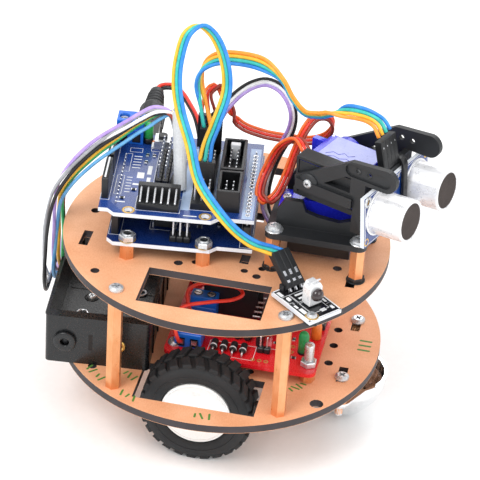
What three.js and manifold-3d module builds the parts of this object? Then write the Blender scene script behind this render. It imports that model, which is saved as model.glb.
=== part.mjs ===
// Two-wheel robot car: two round plates, a driver board and a battery holder between them,
// a controller with its shield on top, and a pan and tilt head with an ultrasonic sensor.
// Millimetres, +X forward, +Y to the robot's left, +Z up.
// The origin is the centre of the lower plate's underside.
import * as THREE from "three";
import { mergeVertices } from "three/addons/utils/BufferGeometryUtils.js";
import Module from "manifold-3d";

const wasm = await Module();
wasm.setup();

// ---------------------------------------------------------------- driving dimensions
const PLATE_R = 61;
const PLATE_T = 3;
const DECK_GAP = 40;
const UPPER_Z = PLATE_T + DECK_GAP;
const DECK_Z = UPPER_Z + PLATE_T;
const STANDOFF_AF = 5;
const POST_X = 31;
const POST_Y = 46.5;
const SLOT_HALF_X = 22.8;
const SLOT_Y = [29.2, 51.2];
// Each slit's x, y, width and length. Each one also has a twin across the middle.
const SLITS = [[49.8, 17, 3.4, 9.8], [-49.8, 17, 3.4, 9.8], [9.8, 14.6, 3.4, 6]];

const AXLE_Z = -5;
const WHEEL_R = 21.5;
const WHEEL_W = 14.6;
const WHEEL_FACE_Y = 45.2;
const BEAD_R = 13.4;
const HUB_R = 13.1;
const FLOOR_Z = AXLE_Z - WHEEL_R;

const SHAFT_R = 1.5;
const BOSS_Y = 29;
const MOTOR_W = 12;
const GEARBOX_Y = [16, 25];
const CAN_END_Y = 1.6;
const BRACKET_Y = [13, 22];

const CASTER_X = 50;
const CASTER_HOLE_Y = 19;
const CASTER_DROP = 6;
const CASTER_R = 15;
const BALL_R = 7.5;

const HOLDER = { size: [39, 77, 20.8], at: [-43.6, 2.2], turn: 5.5, wall: 1.1 };
const DRIVER = { x: [-16.5, 41], y: [-29.6, 24], z: 8.4, thick: 1.6 };

const BOARD_AT = [-48.1, 40.1];
const BOARD_TURN = 7;
const BOARD_T = 1.6;
const PIN = 2.54;
const CONTROLLER_Z = 52;
const SHIELD_Z = 64.6;
const BOARD_W = 53.3;
const BOARD_HOLES = [[2.54, 14], [50.8, 15.24], [7.62, 66.04], [35.56, 66.04]];
const SHIELD_TOP = SHIELD_Z + BOARD_T;
const JACK_AT = [7.8, CONTROLLER_Z + BOARD_T + 6];

const IR_AT = [36.8, -38.5];
const IR_TURN = -41;
const IR_SIZE = [22, 14.4];
const IR_Z = 47.4;

const PAN_AT = [41.1, -1.1];
const PAN_REST = -22;
const BASE_X = [16.8, 54.2];
const BASE_Y = [-19.6, 14.4];
const BASE_Z = 60;
const BASE_T = 2.5;
const BASE_HOLES_X = [20, 51.2];
const BASE_HOLES_Y = [-16.6, 11.4];
const SERVO_LEN = 22.8;
const SERVO_W = 12.2;
const SERVO_H = 22.5;
const EAR_UP = 15.9;
const EAR_T = 2.5;
const EAR_OUT = 4.7;
const SHAFT_IN = 5.9;
const PAN_SERVO_Z = 48.5;
const YOKE_Z = [74.2, 77];
const TILT_X = -4.2;
const TILT_Z = 83.4;
const ARM_IN = 14.3;
const ARM_OUT = 16.5;
const SONAR_X = 22.1;
const SONAR_Z = 79.5;
const SONAR_LEAN = -5;
const CAN_R = 8;
const CAN_SPACING = 26;

const RIBBON_R = 1.3;
const LEAD_R = 1.2;
const HARNESS_R = 2;
const POWER_LEAD_R = 1.3;

// ---------------------------------------------------------------- materials
const paint = (color, roughness, metalness = 0) =>
  new THREE.MeshStandardMaterial({ color, roughness, metalness });
const MAT = {
  plate: paint(0xd9a877, 0.75),
  copper: paint(0xd07a35, 0.4, 0.7),
  steel: paint(0xc9cccf, 0.3, 1),
  black: paint(0x17181a, 0.5),
  nylon: paint(0x202224, 0.55),
  red: paint(0xd3122a, 0.4),
  blue: paint(0x1b3f9c, 0.4),
  servo: paint(0x2a2fd0, 0.3),
  white: paint(0xf2f2f2, 0.4),
  rubber: paint(0x232425, 0.9),
  yellow: paint(0xf2b21c, 0.5),
  green: paint(0x2fbf62, 0.5),
  purple: paint(0xb9a3dd, 0.5),
  orange: paint(0xe8461e, 0.5),
  grey: paint(0x6d7073, 0.5),
};

// ---------------------------------------------------------------- shape helpers
const deg = THREE.MathUtils.degToRad;

function slab([x0, x1], [y0, y1], [z0, z1]) {
  const geometry = new THREE.BoxGeometry(x1 - x0, y1 - y0, z1 - z0);
  return geometry.translate((x0 + x1) / 2, (y0 + y1) / 2, (z0 + z1) / 2);
}

function rod(radius, z0, z1, sides = 20, at = [0, 0]) {
  const geometry = new THREE.CylinderGeometry(radius, radius, z1 - z0, sides);
  return geometry.rotateX(Math.PI / 2).translate(at[0], at[1], (z0 + z1) / 2);
}

function hexRod(acrossFlats, z0, z1, at) {
  return rod(acrossFlats / Math.sqrt(3), z0, z1, 6, at);
}

function rodAlongY(radius, y0, y1, sides, x = 0, z = 0) {
  const geometry = new THREE.CylinderGeometry(radius, radius, y1 - y0, sides);
  return geometry.translate(x, (y0 + y1) / 2, z);
}

function outline(points) {
  return new THREE.Shape(points.map(([x, y]) => new THREE.Vector2(x, y)));
}

function roundedRect([x0, x1], [y0, y1], r, Kind = THREE.Shape) {
  const shape = new Kind();
  shape.moveTo(x0 + r, y0);
  shape.lineTo(x1 - r, y0);
  shape.absarc(x1 - r, y0 + r, r, -Math.PI / 2, 0);
  shape.lineTo(x1, y1 - r);
  shape.absarc(x1 - r, y1 - r, r, 0, Math.PI / 2);
  shape.lineTo(x0 + r, y1);
  shape.absarc(x0 + r, y1 - r, r, Math.PI / 2, Math.PI);
  shape.lineTo(x0, y0 + r);
  shape.absarc(x0 + r, y0 + r, r, Math.PI, Math.PI * 1.5);
  return shape;
}

function roundHole([x, y], r) {
  const path = new THREE.Path();
  path.absarc(x, y, r, 0, Math.PI * 2, true);
  return path;
}

function rectHole([x0, x1], [y0, y1]) {
  return new THREE.Path([[x0, y0], [x0, y1], [x1, y1], [x1, y0]].map(([x, y]) => new THREE.Vector2(x, y)));
}

function sheet(shape, z0, z1, curveSegments = 4) {
  const geometry = new THREE.ExtrudeGeometry(shape, { depth: z1 - z0, bevelEnabled: false, curveSegments });
  return geometry.translate(0, 0, z0);
}

// A shape drawn in x (forward) and z (up), made thick from y0 to y1.
function sideSheet(shape, y0, y1, curveSegments = 6) {
  const geometry = new THREE.ExtrudeGeometry(shape, { depth: y1 - y0, bevelEnabled: false, curveSegments });
  return geometry.rotateX(Math.PI / 2).translate(0, y1, 0);
}

// A turned piece about the y axis from [radius, y] points that start and end on the axis.
function turned(profile, sides) {
  const points = profile.map(([r, y]) => new THREE.Vector2(r, y));
  return facingOut(new THREE.LatheGeometry(points, sides));
}

// A turned ring: its section closes on itself.
function turnedRing(section, sides) {
  return turned([...section, section[0]], sides);
}

// Turns every face over when the enclosed volume comes out negative.
function facingOut(geometry) {
  const index = geometry.index.array;
  const position = geometry.attributes.position;
  const [a, b, c] = [new THREE.Vector3(), new THREE.Vector3(), new THREE.Vector3()];
  let volume = 0;
  for (let i = 0; i < index.length; i += 3) {
    [a, b, c].forEach((corner, k) => corner.fromBufferAttribute(position, index[i + k]));
    volume += a.dot(b.cross(c));
  }
  if (volume < 0) {
    for (let i = 0; i < index.length; i += 3) {
      [index[i], index[i + 1]] = [index[i + 1], index[i]];
    }
  }
  return geometry;
}

function toSolid(geometry) {
  const bare = geometry.clone();
  bare.deleteAttribute("normal");
  bare.deleteAttribute("uv");
  const merged = mergeVertices(bare, 1e-4);
  return new wasm.Manifold(new wasm.Mesh({
    numProp: 3,
    vertProperties: new Float32Array(merged.attributes.position.array),
    triVerts: new Uint32Array(merged.index.array),
  }));
}

function toGeometry(solid) {
  const mesh = solid.getMesh();
  const geometry = new THREE.BufferGeometry();
  geometry.setAttribute("position", new THREE.BufferAttribute(mesh.vertProperties, 3));
  geometry.setIndex(new THREE.BufferAttribute(mesh.triVerts, 1));
  geometry.computeVertexNormals();
  return geometry;
}

function join(parts) {
  return toGeometry(parts.map(toSolid).reduce((a, b) => a.add(b)));
}

function cut(base, tools) {
  return toGeometry(tools.map(toSolid).reduce((a, b) => a.subtract(b), toSolid(base)));
}

function tube(points, radius, step = 6) {
  const route = new THREE.CatmullRomCurve3(points.map((p) => new THREE.Vector3(...p)), false, "centripetal");
  const section = new THREE.Shape();
  const corners = [...Array(8).keys()].map((k) => {
    const a = (k * Math.PI) / 4;
    return new THREE.Vector2(radius * Math.cos(a), radius * Math.sin(a));
  });
  section.setFromPoints(corners);
  const steps = Math.min(70, Math.ceil(route.getLength() / step));
  return new THREE.ExtrudeGeometry(section, { steps, bevelEnabled: false, extrudePath: route });
}

// ---------------------------------------------------------------- groups
const robot = new THREE.Group();
const boards = new THREE.Group();
boards.position.set(BOARD_AT[0], BOARD_AT[1], 0);
boards.rotation.z = deg(BOARD_TURN);
robot.add(boards);

const irModule = new THREE.Group();
irModule.position.set(IR_AT[0], IR_AT[1], 0);
irModule.rotation.z = deg(IR_TURN);
robot.add(irModule);

const panHead = new THREE.Group();
panHead.position.set(PAN_AT[0], PAN_AT[1], 0);
panHead.rotation.z = deg(PAN_REST);
robot.add(panHead);

const sonar = new THREE.Group();
sonar.position.set(SONAR_X, 0, SONAR_Z);
sonar.rotation.y = deg(SONAR_LEAN);
panHead.add(sonar);

function add(group, name, geometry, material) {
  const mesh = new THREE.Mesh(geometry, material);
  mesh.name = name;
  group.add(mesh);
}

// ---------------------------------------------------------------- plates and their posts
function plateShape() {
  const shape = new THREE.Shape();
  shape.absarc(0, 0, PLATE_R, 0, Math.PI * 2);
  const pairs = [[43.6, 11, 1.7], [43.6, 37.2, 2.6], [-41.3, 36.9, 1.7], [17, 19, 1.4], [16, 24.4, 1.6],
    [11, 22, 1.4], [-13.3, 23.6, 1.7], [-7.4, 21.4, 1.4], [POST_X, POST_Y, 1.6], [-POST_X, POST_Y, 1.6]];
  for (const side of [-1, 1]) {
    for (const [x, y, r] of pairs) {
      shape.holes.push(roundHole([x, side * y], r));
    }
    const wheelSlot = SLOT_Y.map((y) => side * y).sort((a, b) => a - b);
    shape.holes.push(rectHole([-SLOT_HALF_X, SLOT_HALF_X], wheelSlot));
    for (const [x, y, w, l] of SLITS) {
      shape.holes.push(rectHole([x - w / 2, x + w / 2], [side * y - l / 2, side * y + l / 2]));
    }
  }
  shape.holes.push(roundHole([43.6, 0.5], 1.7));
  shape.holes.push(roundHole([-51, 1.9], 1.7));
  return shape;
}

// Each small hole has 12 sides: an arc of a whole turn takes twice curveSegments.
function plate(z) {
  const disc = rod(PLATE_R, z, z + PLATE_T, 96);
  const shape = plateShape();
  const tools = shape.holes.map((path) => {
    const tool = new THREE.Shape(path.getPoints(6));
    return sheet(tool, z - 1, z + PLATE_T + 1);
  });
  return cut(disc, tools);
}

function addPlates() {
  add(robot, "lower_plate", plate(0), MAT.plate);
  add(robot, "upper_plate", plate(UPPER_Z), MAT.plate);
  const corners = { front_right: [1, -1], front_left: [1, 1], rear_right: [-1, -1], rear_left: [-1, 1] };
  for (const [corner, [sx, sy]] of Object.entries(corners)) {
    const post = hexRod(STANDOFF_AF, PLATE_T, UPPER_Z, [sx * POST_X, sy * POST_Y]);
    add(robot, `deck_standoff_${corner}`, post, MAT.copper);
  }
}

// ---------------------------------------------------------------- wheels and motors
// The right wheel is at y below 0. Each piece takes its side: -1 right, 1 left.
const WHEEL_INNER_Y = WHEEL_FACE_Y - WHEEL_W;

function atAxle(section, side, sides, make = turnedRing) {
  const placed = section.map(([r, y]) => [r, side * y]);
  return make(placed, sides).translate(0, 0, AXLE_Z);
}

function tyre(side) {
  const shoulder = 3.5;
  return atAxle([
    [BEAD_R, WHEEL_FACE_Y - 1], [BEAD_R + 1, WHEEL_FACE_Y], [WHEEL_R - shoulder, WHEEL_FACE_Y],
    [WHEEL_R - 0.8, WHEEL_FACE_Y - 2], [WHEEL_R, WHEEL_FACE_Y - 5], [WHEEL_R, WHEEL_INNER_Y + 5],
    [WHEEL_R - 0.8, WHEEL_INNER_Y + 2], [WHEEL_R - shoulder, WHEEL_INNER_Y],
    [BEAD_R + 1, WHEEL_INNER_Y], [BEAD_R, WHEEL_INNER_Y + 1],
  ], side, 48);
}

// A closed outer disc, a rim wall and a boss with a blind hole for the shaft.
function hub(side) {
  const face = WHEEL_FACE_Y - 0.6;
  const web = face - 2;
  const open = WHEEL_INNER_Y + 1.5;
  return atAxle([
    [0, face], [HUB_R, face], [HUB_R, open], [HUB_R - 1.6, open], [HUB_R - 1.6, web],
    [SHAFT_R + 2.2, web], [SHAFT_R + 2.2, BOSS_Y], [SHAFT_R + 0.15, BOSS_Y], [SHAFT_R + 0.15, web], [0, web],
  ], side, 40, turned);
}

function addDrive(name, side) {
  const span = (y0, y1) => [side * y0, side * y1].sort((a, b) => a - b);
  add(robot, `tyre_${name}`, tyre(side), MAT.rubber);
  add(robot, `hub_${name}`, hub(side), MAT.white);
  const shaft = rodAlongY(SHAFT_R, ...span(GEARBOX_Y[1] + 0.3, WHEEL_FACE_Y - 3), 12, 0, AXLE_Z);
  add(robot, `wheel_shaft_${name}`, shaft, MAT.steel);
  const half = MOTOR_W / 2;
  const gearbox = slab([-half, half], span(...GEARBOX_Y), [2 * AXLE_Z, 0]);
  const can = rodAlongY(half, ...span(CAN_END_Y, GEARBOX_Y[0] + 0.5), 24, 0, AXLE_Z);
  const flats = slab([-half, half], span(CAN_END_Y, GEARBOX_Y[0] + 1), [2 * AXLE_Z, 0]);
  const motor = toGeometry(toSolid(gearbox).add(toSolid(can).intersect(toSolid(flats))));
  add(robot, `gear_motor_${name}`, motor, MAT.steel);
  add(robot, `motor_bracket_${name}`, motorBracket(span), MAT.nylon);
}

// A channel that holds the gearbox up against the plate, with a screw ear on each side.
function motorBracket(span) {
  const inner = MOTOR_W / 2 + 0.3;
  const outer = inner + 1.7;
  const bottom = 2 * AXLE_Z - 0.3;
  const [y0, y1] = span(BRACKET_Y[0], BRACKET_Y[1]);
  const shape = outline([[-outer - 6, 0], [-outer - 6, -2.5], [-outer, -2.5], [-outer, bottom - 1.7],
    [outer, bottom - 1.7], [outer, -2.5], [outer + 6, -2.5], [outer + 6, 0], [inner, 0], [inner, bottom],
    [-inner, bottom], [-inner, 0]].reverse());
  const channel = sideSheet(shape, y0, y1);
  const holes = [-1, 1].map((end) => rod(1.1, -4, 1, 12, [end * (outer + 3.2), (y0 + y1) / 2]));
  return cut(channel, holes);
}

// ---------------------------------------------------------------- ball caster
function addCaster() {
  const rim = -CASTER_DROP;
  const mouth = FLOOR_Z + 4;
  const cup = turnedRing([
    [CASTER_R - 1, rim], [CASTER_R, rim], [CASTER_R - 0.3, rim - 5], [CASTER_R - 2, rim - 9.5],
    [CASTER_R - 4.6, rim - 13], [CASTER_R - 7.3, mouth], [CASTER_R - 8, mouth], [CASTER_R - 6.6, mouth + 1.6],
    [CASTER_R - 5.6, rim - 12.4], [CASTER_R - 3, rim - 9], [CASTER_R - 1.3, rim - 5],
  ], 40).rotateX(Math.PI / 2).translate(CASTER_X, 0, 0);
  const flange = new THREE.Shape();
  const tip = CASTER_HOLE_Y;
  flange.absarc(CASTER_X, tip, 4.6, 0.35, Math.PI - 0.35);
  flange.absarc(CASTER_X, 0, CASTER_R, Math.PI - 0.95, Math.PI + 0.95);
  flange.absarc(CASTER_X, -tip, 4.6, Math.PI + 0.35, 2 * Math.PI - 0.35);
  flange.absarc(CASTER_X, 0, CASTER_R, -0.95, 0.95);
  flange.holes.push(roundHole([CASTER_X, 0], CASTER_R - 1));
  flange.holes.push(roundHole([CASTER_X, tip], 1.8), roundHole([CASTER_X, -tip], 1.8));
  const housing = join([cup, sheet(flange, rim - 1, rim, 10)]);
  add(robot, "caster_housing", housing, MAT.steel);
  const ball = new THREE.SphereGeometry(BALL_R, 24, 16).translate(CASTER_X, 0, FLOOR_Z + BALL_R);
  add(robot, "caster_ball", ball, MAT.steel);
  for (const [name, side] of [["right", -1], ["left", 1]]) {
    const at = [CASTER_X, side * CASTER_HOLE_Y];
    const stud = join([hexRod(STANDOFF_AF, -CASTER_DROP, 0, at), rod(1.5, -CASTER_DROP - 7, -1, 12, at)]);
    add(robot, `caster_standoff_${name}`, stud, MAT.copper);
  }
}

// ---------------------------------------------------------------- battery holder and driver board
function addBatteryHolder() {
  const [w, l, h] = HOLDER.size;
  const [z0, z1] = [PLATE_T, PLATE_T + h];
  const body = sheet(roundedRect([-w / 2, w / 2], [-l / 2, l / 2], 1.5), z0, z1, 3);
  const inner = w / 2 - HOLDER.wall;
  const ribTop = z0 + 5;
  const tray = slab([-inner, inner], [-l / 2 + 4, l / 2 - 4], [ribTop, z1 + 1]);
  const bays = [-1, 1].map((side) => {
    const edges = [side * 0.6, side * inner].sort((a, b) => a - b);
    return slab(edges, [-l / 2 + 4, l / 2 - 4], [z0 + 1.6, z1 + 1]);
  });
  const group = new THREE.Group();
  group.position.set(HOLDER.at[0], HOLDER.at[1], 0);
  group.rotation.z = deg(HOLDER.turn);
  robot.add(group);
  add(group, "battery_holder", cut(body, [tray, ...bays]), MAT.black);
}

function addDriver() {
  const { x, y, z, thick } = DRIVER;
  const shape = roundedRect(x, y, 3);
  const inset = 3.4;
  for (const cx of [x[0] + inset, x[1] - inset]) {
    for (const cy of [y[0] + 6, y[1] - 6]) {
      shape.holes.push(roundHole([cx, cy], 1.7));
    }
  }
  add(robot, "driver_board", sheet(shape, z, z + thick, 3), MAT.red);
  const base = z + thick;
  const [x0, x1, y0, y1] = [-8, 15, 2, 18];
  const block = slab([x0, x1], [y0, y1], [base, base + 24]);
  const gaps = [1, 2, 3, 4].map((k) => slab([x0 + 1.5 + (k - 1) * 5.2, x0 + 4.8 + (k - 1) * 5.2],
    [y0 + 4, y1 + 1], [base + 4, base + 25]));
  add(robot, "driver_heatsink", cut(block, gaps), MAT.black);
}

// ---------------------------------------------------------------- controller and shield
// Board coordinates: u runs along the board's wide edge, and v back to front.
const onBoard = ([u0, u1], [v0, v1], z) => slab([u0, u1], [-v1, -v0], z);

// The front edge bulges forward between two recessed ends.
function boardShape(u0, v0) {
  const [front, back] = [68.6, 66];
  return outline([[u0, -v0], [u0, -back], [0, -back], [2.5, -front], [37.8, -front], [40.4, -back],
    [BOARD_W, -back], [BOARD_W, -v0]].filter(([u], k) => u0 < 0 || k !== 2));
}

function addController() {
  const shape = boardShape(0, 0);
  shape.holes = BOARD_HOLES.map(([u, v]) => roundHole([u, -v], 1.6));
  add(boards, "controller_board", sheet(shape, CONTROLLER_Z, CONTROLLER_Z + BOARD_T), MAT.blue);
  const top = CONTROLLER_Z + BOARD_T;
  const usb = cut(onBoard([32, 44], [-6.3, 9.7], [top, top + 10.6]),
    [onBoard([33, 43], [-7, 2], [top + 1.2, top + 9.6])]);
  add(boards, "usb_socket", usb, MAT.steel);
  const jack = cut(onBoard([3.3, 12.3], [-1.8, 12], [top, top + 10.8]),
    [rodAlongY(3.1, -9, 3, 16, ...JACK_AT)]);
  add(boards, "power_socket", jack, MAT.black);
  // The rear left hole is over the wheel slot, so no standoff is under it.
  const corners = { rear_right: BOARD_HOLES[0], front_right: BOARD_HOLES[2], front_left: BOARD_HOLES[3] };
  for (const [corner, [u, v]] of Object.entries(corners)) {
    const post = hexRod(STANDOFF_AF, DECK_Z, CONTROLLER_Z, [u, -v]);
    add(boards, `controller_standoff_${corner}`, post, MAT.copper);
  }
}

function addShield() {
  const shape = boardShape(-3.4, 12.5);
  shape.holes = BOARD_HOLES.slice(2).map(([u, v]) => roundHole([u, -v], 1.6));
  add(boards, "shield_board", sheet(shape, SHIELD_Z, SHIELD_TOP), MAT.blue);
  const servoHeader = onBoard([29.6, 37.2], [19, 62], [SHIELD_TOP, SHIELD_TOP + 2.5]);
  add(boards, "servo_header", servoHeader, MAT.black);
  const port = cut(onBoard([10.3, 25.6], [57, 65.2], [SHIELD_TOP, SHIELD_TOP + 7]),
    [onBoard([9, 27], [59.4, 66], [SHIELD_TOP + 2.7, SHIELD_TOP + 8])]);
  add(boards, "port_header", port, MAT.black);
  const body = cut(onBoard([12.3, 18.3], [17, 23], [SHIELD_TOP, SHIELD_TOP + 3.6]),
    [rod(2, SHIELD_TOP + 2.2, SHIELD_TOP + 5, 20, [15.3, -20])]);
  const terminal = cut(onBoard([-2.4, 7.8], [13, 20.6], [SHIELD_TOP, SHIELD_TOP + 10]),
    [0.2, 5.2].map((u) => rod(1.9, SHIELD_TOP + 7.5, SHIELD_TOP + 11, 16, [u, -16.8])));
  add(boards, "shield_terminal", terminal, MAT.blue);
  add(boards, "reset_button_body", body, MAT.black);
  add(boards, "reset_button", rod(1.7, SHIELD_TOP + 2.6, SHIELD_TOP + 5, 20, [15.3, -20]), MAT.black);
}

// ---------------------------------------------------------------- infrared receiver module
function addInfrared() {
  const [l, w] = IR_SIZE.map((size) => size / 2);
  const top = IR_Z + BOARD_T;
  add(irModule, "ir_board", slab([-l, l], [-w, w], [IR_Z, top]), MAT.black);
  const shape = outline([[-2.8, 0], [2.8, 0], [2.8, 7], [1.6, 9], [-1.6, 9], [-2.8, 7]]);
  const receiver = sideSheet(shape, -2, 2.4).rotateZ(Math.PI / 2).translate(2.5, 0.5, top + 0.6);
  add(irModule, "ir_receiver", receiver, MAT.white);
  const plug = slab([-7, 7], [-3.8, 3.8], [-1.3, 1.3]).rotateY(deg(40));
  add(irModule, "ir_plug", plug.translate(-12.5, 0.5, top + 6.4), MAT.black);
}

// ---------------------------------------------------------------- pan base and servos
// A servo standing on z = 0 with its shaft on the z axis and its body towards -x.
function servo() {
  const [x0, x1] = [SHAFT_IN - SERVO_LEN, SHAFT_IN];
  const half = SERVO_W / 2;
  const body = slab([x0, x1], [-half, half], [0, SERVO_H]);
  const ears = slab([x0 - EAR_OUT, x1 + EAR_OUT], [-half, half], [EAR_UP, EAR_UP + EAR_T]);
  const hump = rod(5.9, SERVO_H - 1, SERVO_H + 2.6, 24);
  const gear = rod(2.9, SERVO_H - 1, SERVO_H + 2.6, 16, [-6.5, 0]);
  const spline = rod(2.3, SERVO_H, SERVO_H + 5, 16);
  return join([body, ears, hump, gear, spline]);
}

function addPanBase() {
  const shape = roundedRect(BASE_X, BASE_Y, 3);
  const half = SERVO_W / 2 + 0.4;
  const [sx0, sx1] = [SHAFT_IN - SERVO_LEN - 0.4, SHAFT_IN + 0.4].map((x) => x + PAN_AT[0]);
  const [sy0, sy1] = [PAN_AT[1] - half, PAN_AT[1] + half];
  shape.holes.push(rectHole([sx0, sx1], [sy0, sy1]));
  for (const x of BASE_HOLES_X) {
    for (const y of BASE_HOLES_Y) {
      shape.holes.push(roundHole([x, y], 1.7));
    }
  }
  const top = BASE_Z + BASE_T;
  const earZ = PAN_SERVO_Z + EAR_UP - 0.3;
  const wall = outline([[20, top - 1], [50, top - 1], [50, 68], [46.5, 68.4], [43, 67], [35, 68], [30.5, 69.4],
    [29, 73.4], [22.6, 73.4], [20, 68.6]]);
  const pieces = [sheet(shape, BASE_Z, top, 4)];
  pieces.push(sideSheet(wall, PAN_AT[1] - 12, PAN_AT[1] - 9.6));
  pieces.push(sideSheet(wall, PAN_AT[1] + 9.6, PAN_AT[1] + 12));
  for (const ends of [[20, sx0], [sx1, 50]]) {
    pieces.push(slab(ends, [PAN_AT[1] - 10, PAN_AT[1] + 10], [top - 1, earZ]));
  }
  add(robot, "pan_base", join(pieces), MAT.nylon);
  const names = ["rear_right", "rear_left", "front_right", "front_left"];
  BASE_HOLES_X.flatMap((x) => BASE_HOLES_Y.map((y) => [x, y])).forEach((at, k) => {
    add(robot, `pan_standoff_${names[k]}`, hexRod(STANDOFF_AF, DECK_Z, BASE_Z, at), MAT.copper);
  });
  add(robot, "pan_servo", servo().translate(PAN_AT[0], PAN_AT[1], PAN_SERVO_Z), MAT.servo);
}

// ---------------------------------------------------------------- pan yoke and tilt head
const TILT_BODY_X = [TILT_X - SHAFT_IN, TILT_X - SHAFT_IN + SERVO_LEN];
const TILT_BASE_Y = -13.9;

// The yoke clips the servo's ears, and a thin shell closes round the end of its body.
function addPanYoke() {
  const [x0, x1] = TILT_BODY_X;
  const floor = slab([x0 - 2.4, x1 - 0.7], [-13, 13], YOKE_Z);
  const clip = TILT_BASE_Y + EAR_UP + EAR_T + 0.3;
  const rear = slab([x0 - EAR_OUT, x0 - 0.3], [clip, clip + 2.2], [YOKE_Z[0], 88]);
  const front = slab([x1 + 0.3, x1 + 3.2], [clip, clip + 2.2], [YOKE_Z[0] + 1.4, 86]);
  const bridge = slab([x1 - 2, x1 + 3.2], [clip, clip + 2.2], [YOKE_Z[0] + 1.4, YOKE_Z[1]]);
  const rearBridge = slab([x0 - EAR_OUT, x0], [clip, clip + 2.2], YOKE_Z);
  const shell = [-14, -7.2];
  const top = TILT_Z + SERVO_W / 2;
  const walls = [[x0 - 1.3, x0 - 0.3], [x1 + 0.3, x1 + 1.3]].map((x) => slab(x, shell, [YOKE_Z[1] - 1, top + 1.3]));
  const lid = slab([x0 - 1.3, x1 + 1.3], shell, [top + 0.3, top + 1.3]);
  const sill = slab([x1 - 2, x1 + 1.3], shell, [YOKE_Z[1] - 1.4, YOKE_Z[1]]);
  const socket = rod(2.6, YOKE_Z[0] - 1, YOKE_Z[0] + 2.1, 16);
  const yoke = cut(join([floor, rearBridge, rear, bridge, front, ...walls, lid, sill]), [socket]);
  add(panHead, "pan_yoke", yoke, MAT.nylon);
  const tilt = servo().rotateX(-Math.PI / 2).rotateY(Math.PI);
  add(panHead, "tilt_servo", tilt.translate(TILT_X, TILT_BASE_Y, TILT_Z), MAT.servo);
}

function armShape() {
  const shape = outline([[-10.5, 84.2], [-9.6, 79.8], [14.2, 79.8], [14.2, 70], [18.7, 70], [18.7, 90.9],
    [26.3, 90.9]]);
  shape.absarc(26.3, 95.4, 4.5, -Math.PI / 2, Math.PI / 2 - 0.12);
  shape.lineTo(12.3, 98.4);
  shape.closePath();
  const window = new THREE.Path([[1.8, 85.6], [12.6, 85.6], [12.6, 92], [10.4, 91.6]].map(([x, z]) =>
    new THREE.Vector2(x, z)));
  shape.holes.push(window, roundHole([15, 95], 1), roundHole([19.5, 95], 1));
  return shape;
}

// Two arms joined by a front frame, which the sensor is strapped to.
function addTiltBracket() {
  const arms = [[-ARM_OUT, -ARM_IN], [ARM_IN, ARM_OUT]].map((span) => sideSheet(armShape(), ...span));
  const rails = [[-ARM_OUT - 1.2, -ARM_IN - 1], [ARM_IN + 1, ARM_OUT + 1.2]].map((span) =>
    slab([-9.4, 14.2], span, [79.9, 84]));
  const columns = [[-ARM_OUT, -10.5], [10.5, ARM_OUT]].map((span) => slab([16.5, 18.7], span, [70, 90.9]));
  const bar = slab([16.5, 18.7], [-ARM_OUT, ARM_OUT], [70, 73.2]);
  const solid = join([...arms, ...rails, ...columns, bar]);
  const recesses = [[-ARM_OUT - 1, -ARM_OUT + 0.9], [ARM_OUT - 0.9, ARM_OUT + 1]].map((span) => {
    const slot = new THREE.Shape();
    slot.absarc(12.6, 95, 2.5, Math.PI / 2, Math.PI * 1.5);
    slot.absarc(26, 95, 2.5, -Math.PI / 2, Math.PI / 2);
    return sideSheet(slot, ...span);
  });
  const pivot = rodAlongY(2.7, ARM_IN - 1, ARM_OUT + 3, 16, TILT_X, TILT_Z);
  add(panHead, "tilt_bracket", cut(solid, [...recesses, pivot]), MAT.nylon);
}

function addSonar() {
  const board = slab([-0.8, 0.8], [-22.5, 22.5], [-10, 10]);
  const holes = [-1, 1].map((side) => rod(0.9, -2, 2, 12).rotateY(Math.PI / 2).translate(0, side * 20.8, 8.2));
  add(sonar, "sonar_board", cut(board, holes), MAT.blue);
  for (const [name, side] of [["transmitter", -1], ["receiver", 1]]) {
    const can = new THREE.CylinderGeometry(CAN_R, CAN_R, 13.2, 36).rotateZ(Math.PI / 2);
    add(sonar, `sonar_${name}`, can.translate(0.8 + 6.6, (side * CAN_SPACING) / 2, 0.6), MAT.steel);
  }
  const plug = slab([-1.3, 1.3], [-5.1, 5.1], [0, 11.5]).rotateY(deg(-9));
  add(sonar, "sonar_plug", plug.translate(-2.5, 0, 11.8), MAT.black);
}

// ---------------------------------------------------------------- power plug
// A barrel in the socket, a moulded grip and a tapered strain relief, along -v of the board.
function addPowerPlug() {
  const profile = [[0, -8], [2.7, -8], [2.7, 0.3], [5, 0.3], [5.2, 14], [3.6, 18], [2.8, 29], [0, 29]];
  const plug = turned(profile, 20).translate(JACK_AT[0], 1.8, JACK_AT[1]);
  add(boards, "power_plug", plug, MAT.black);
}

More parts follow.
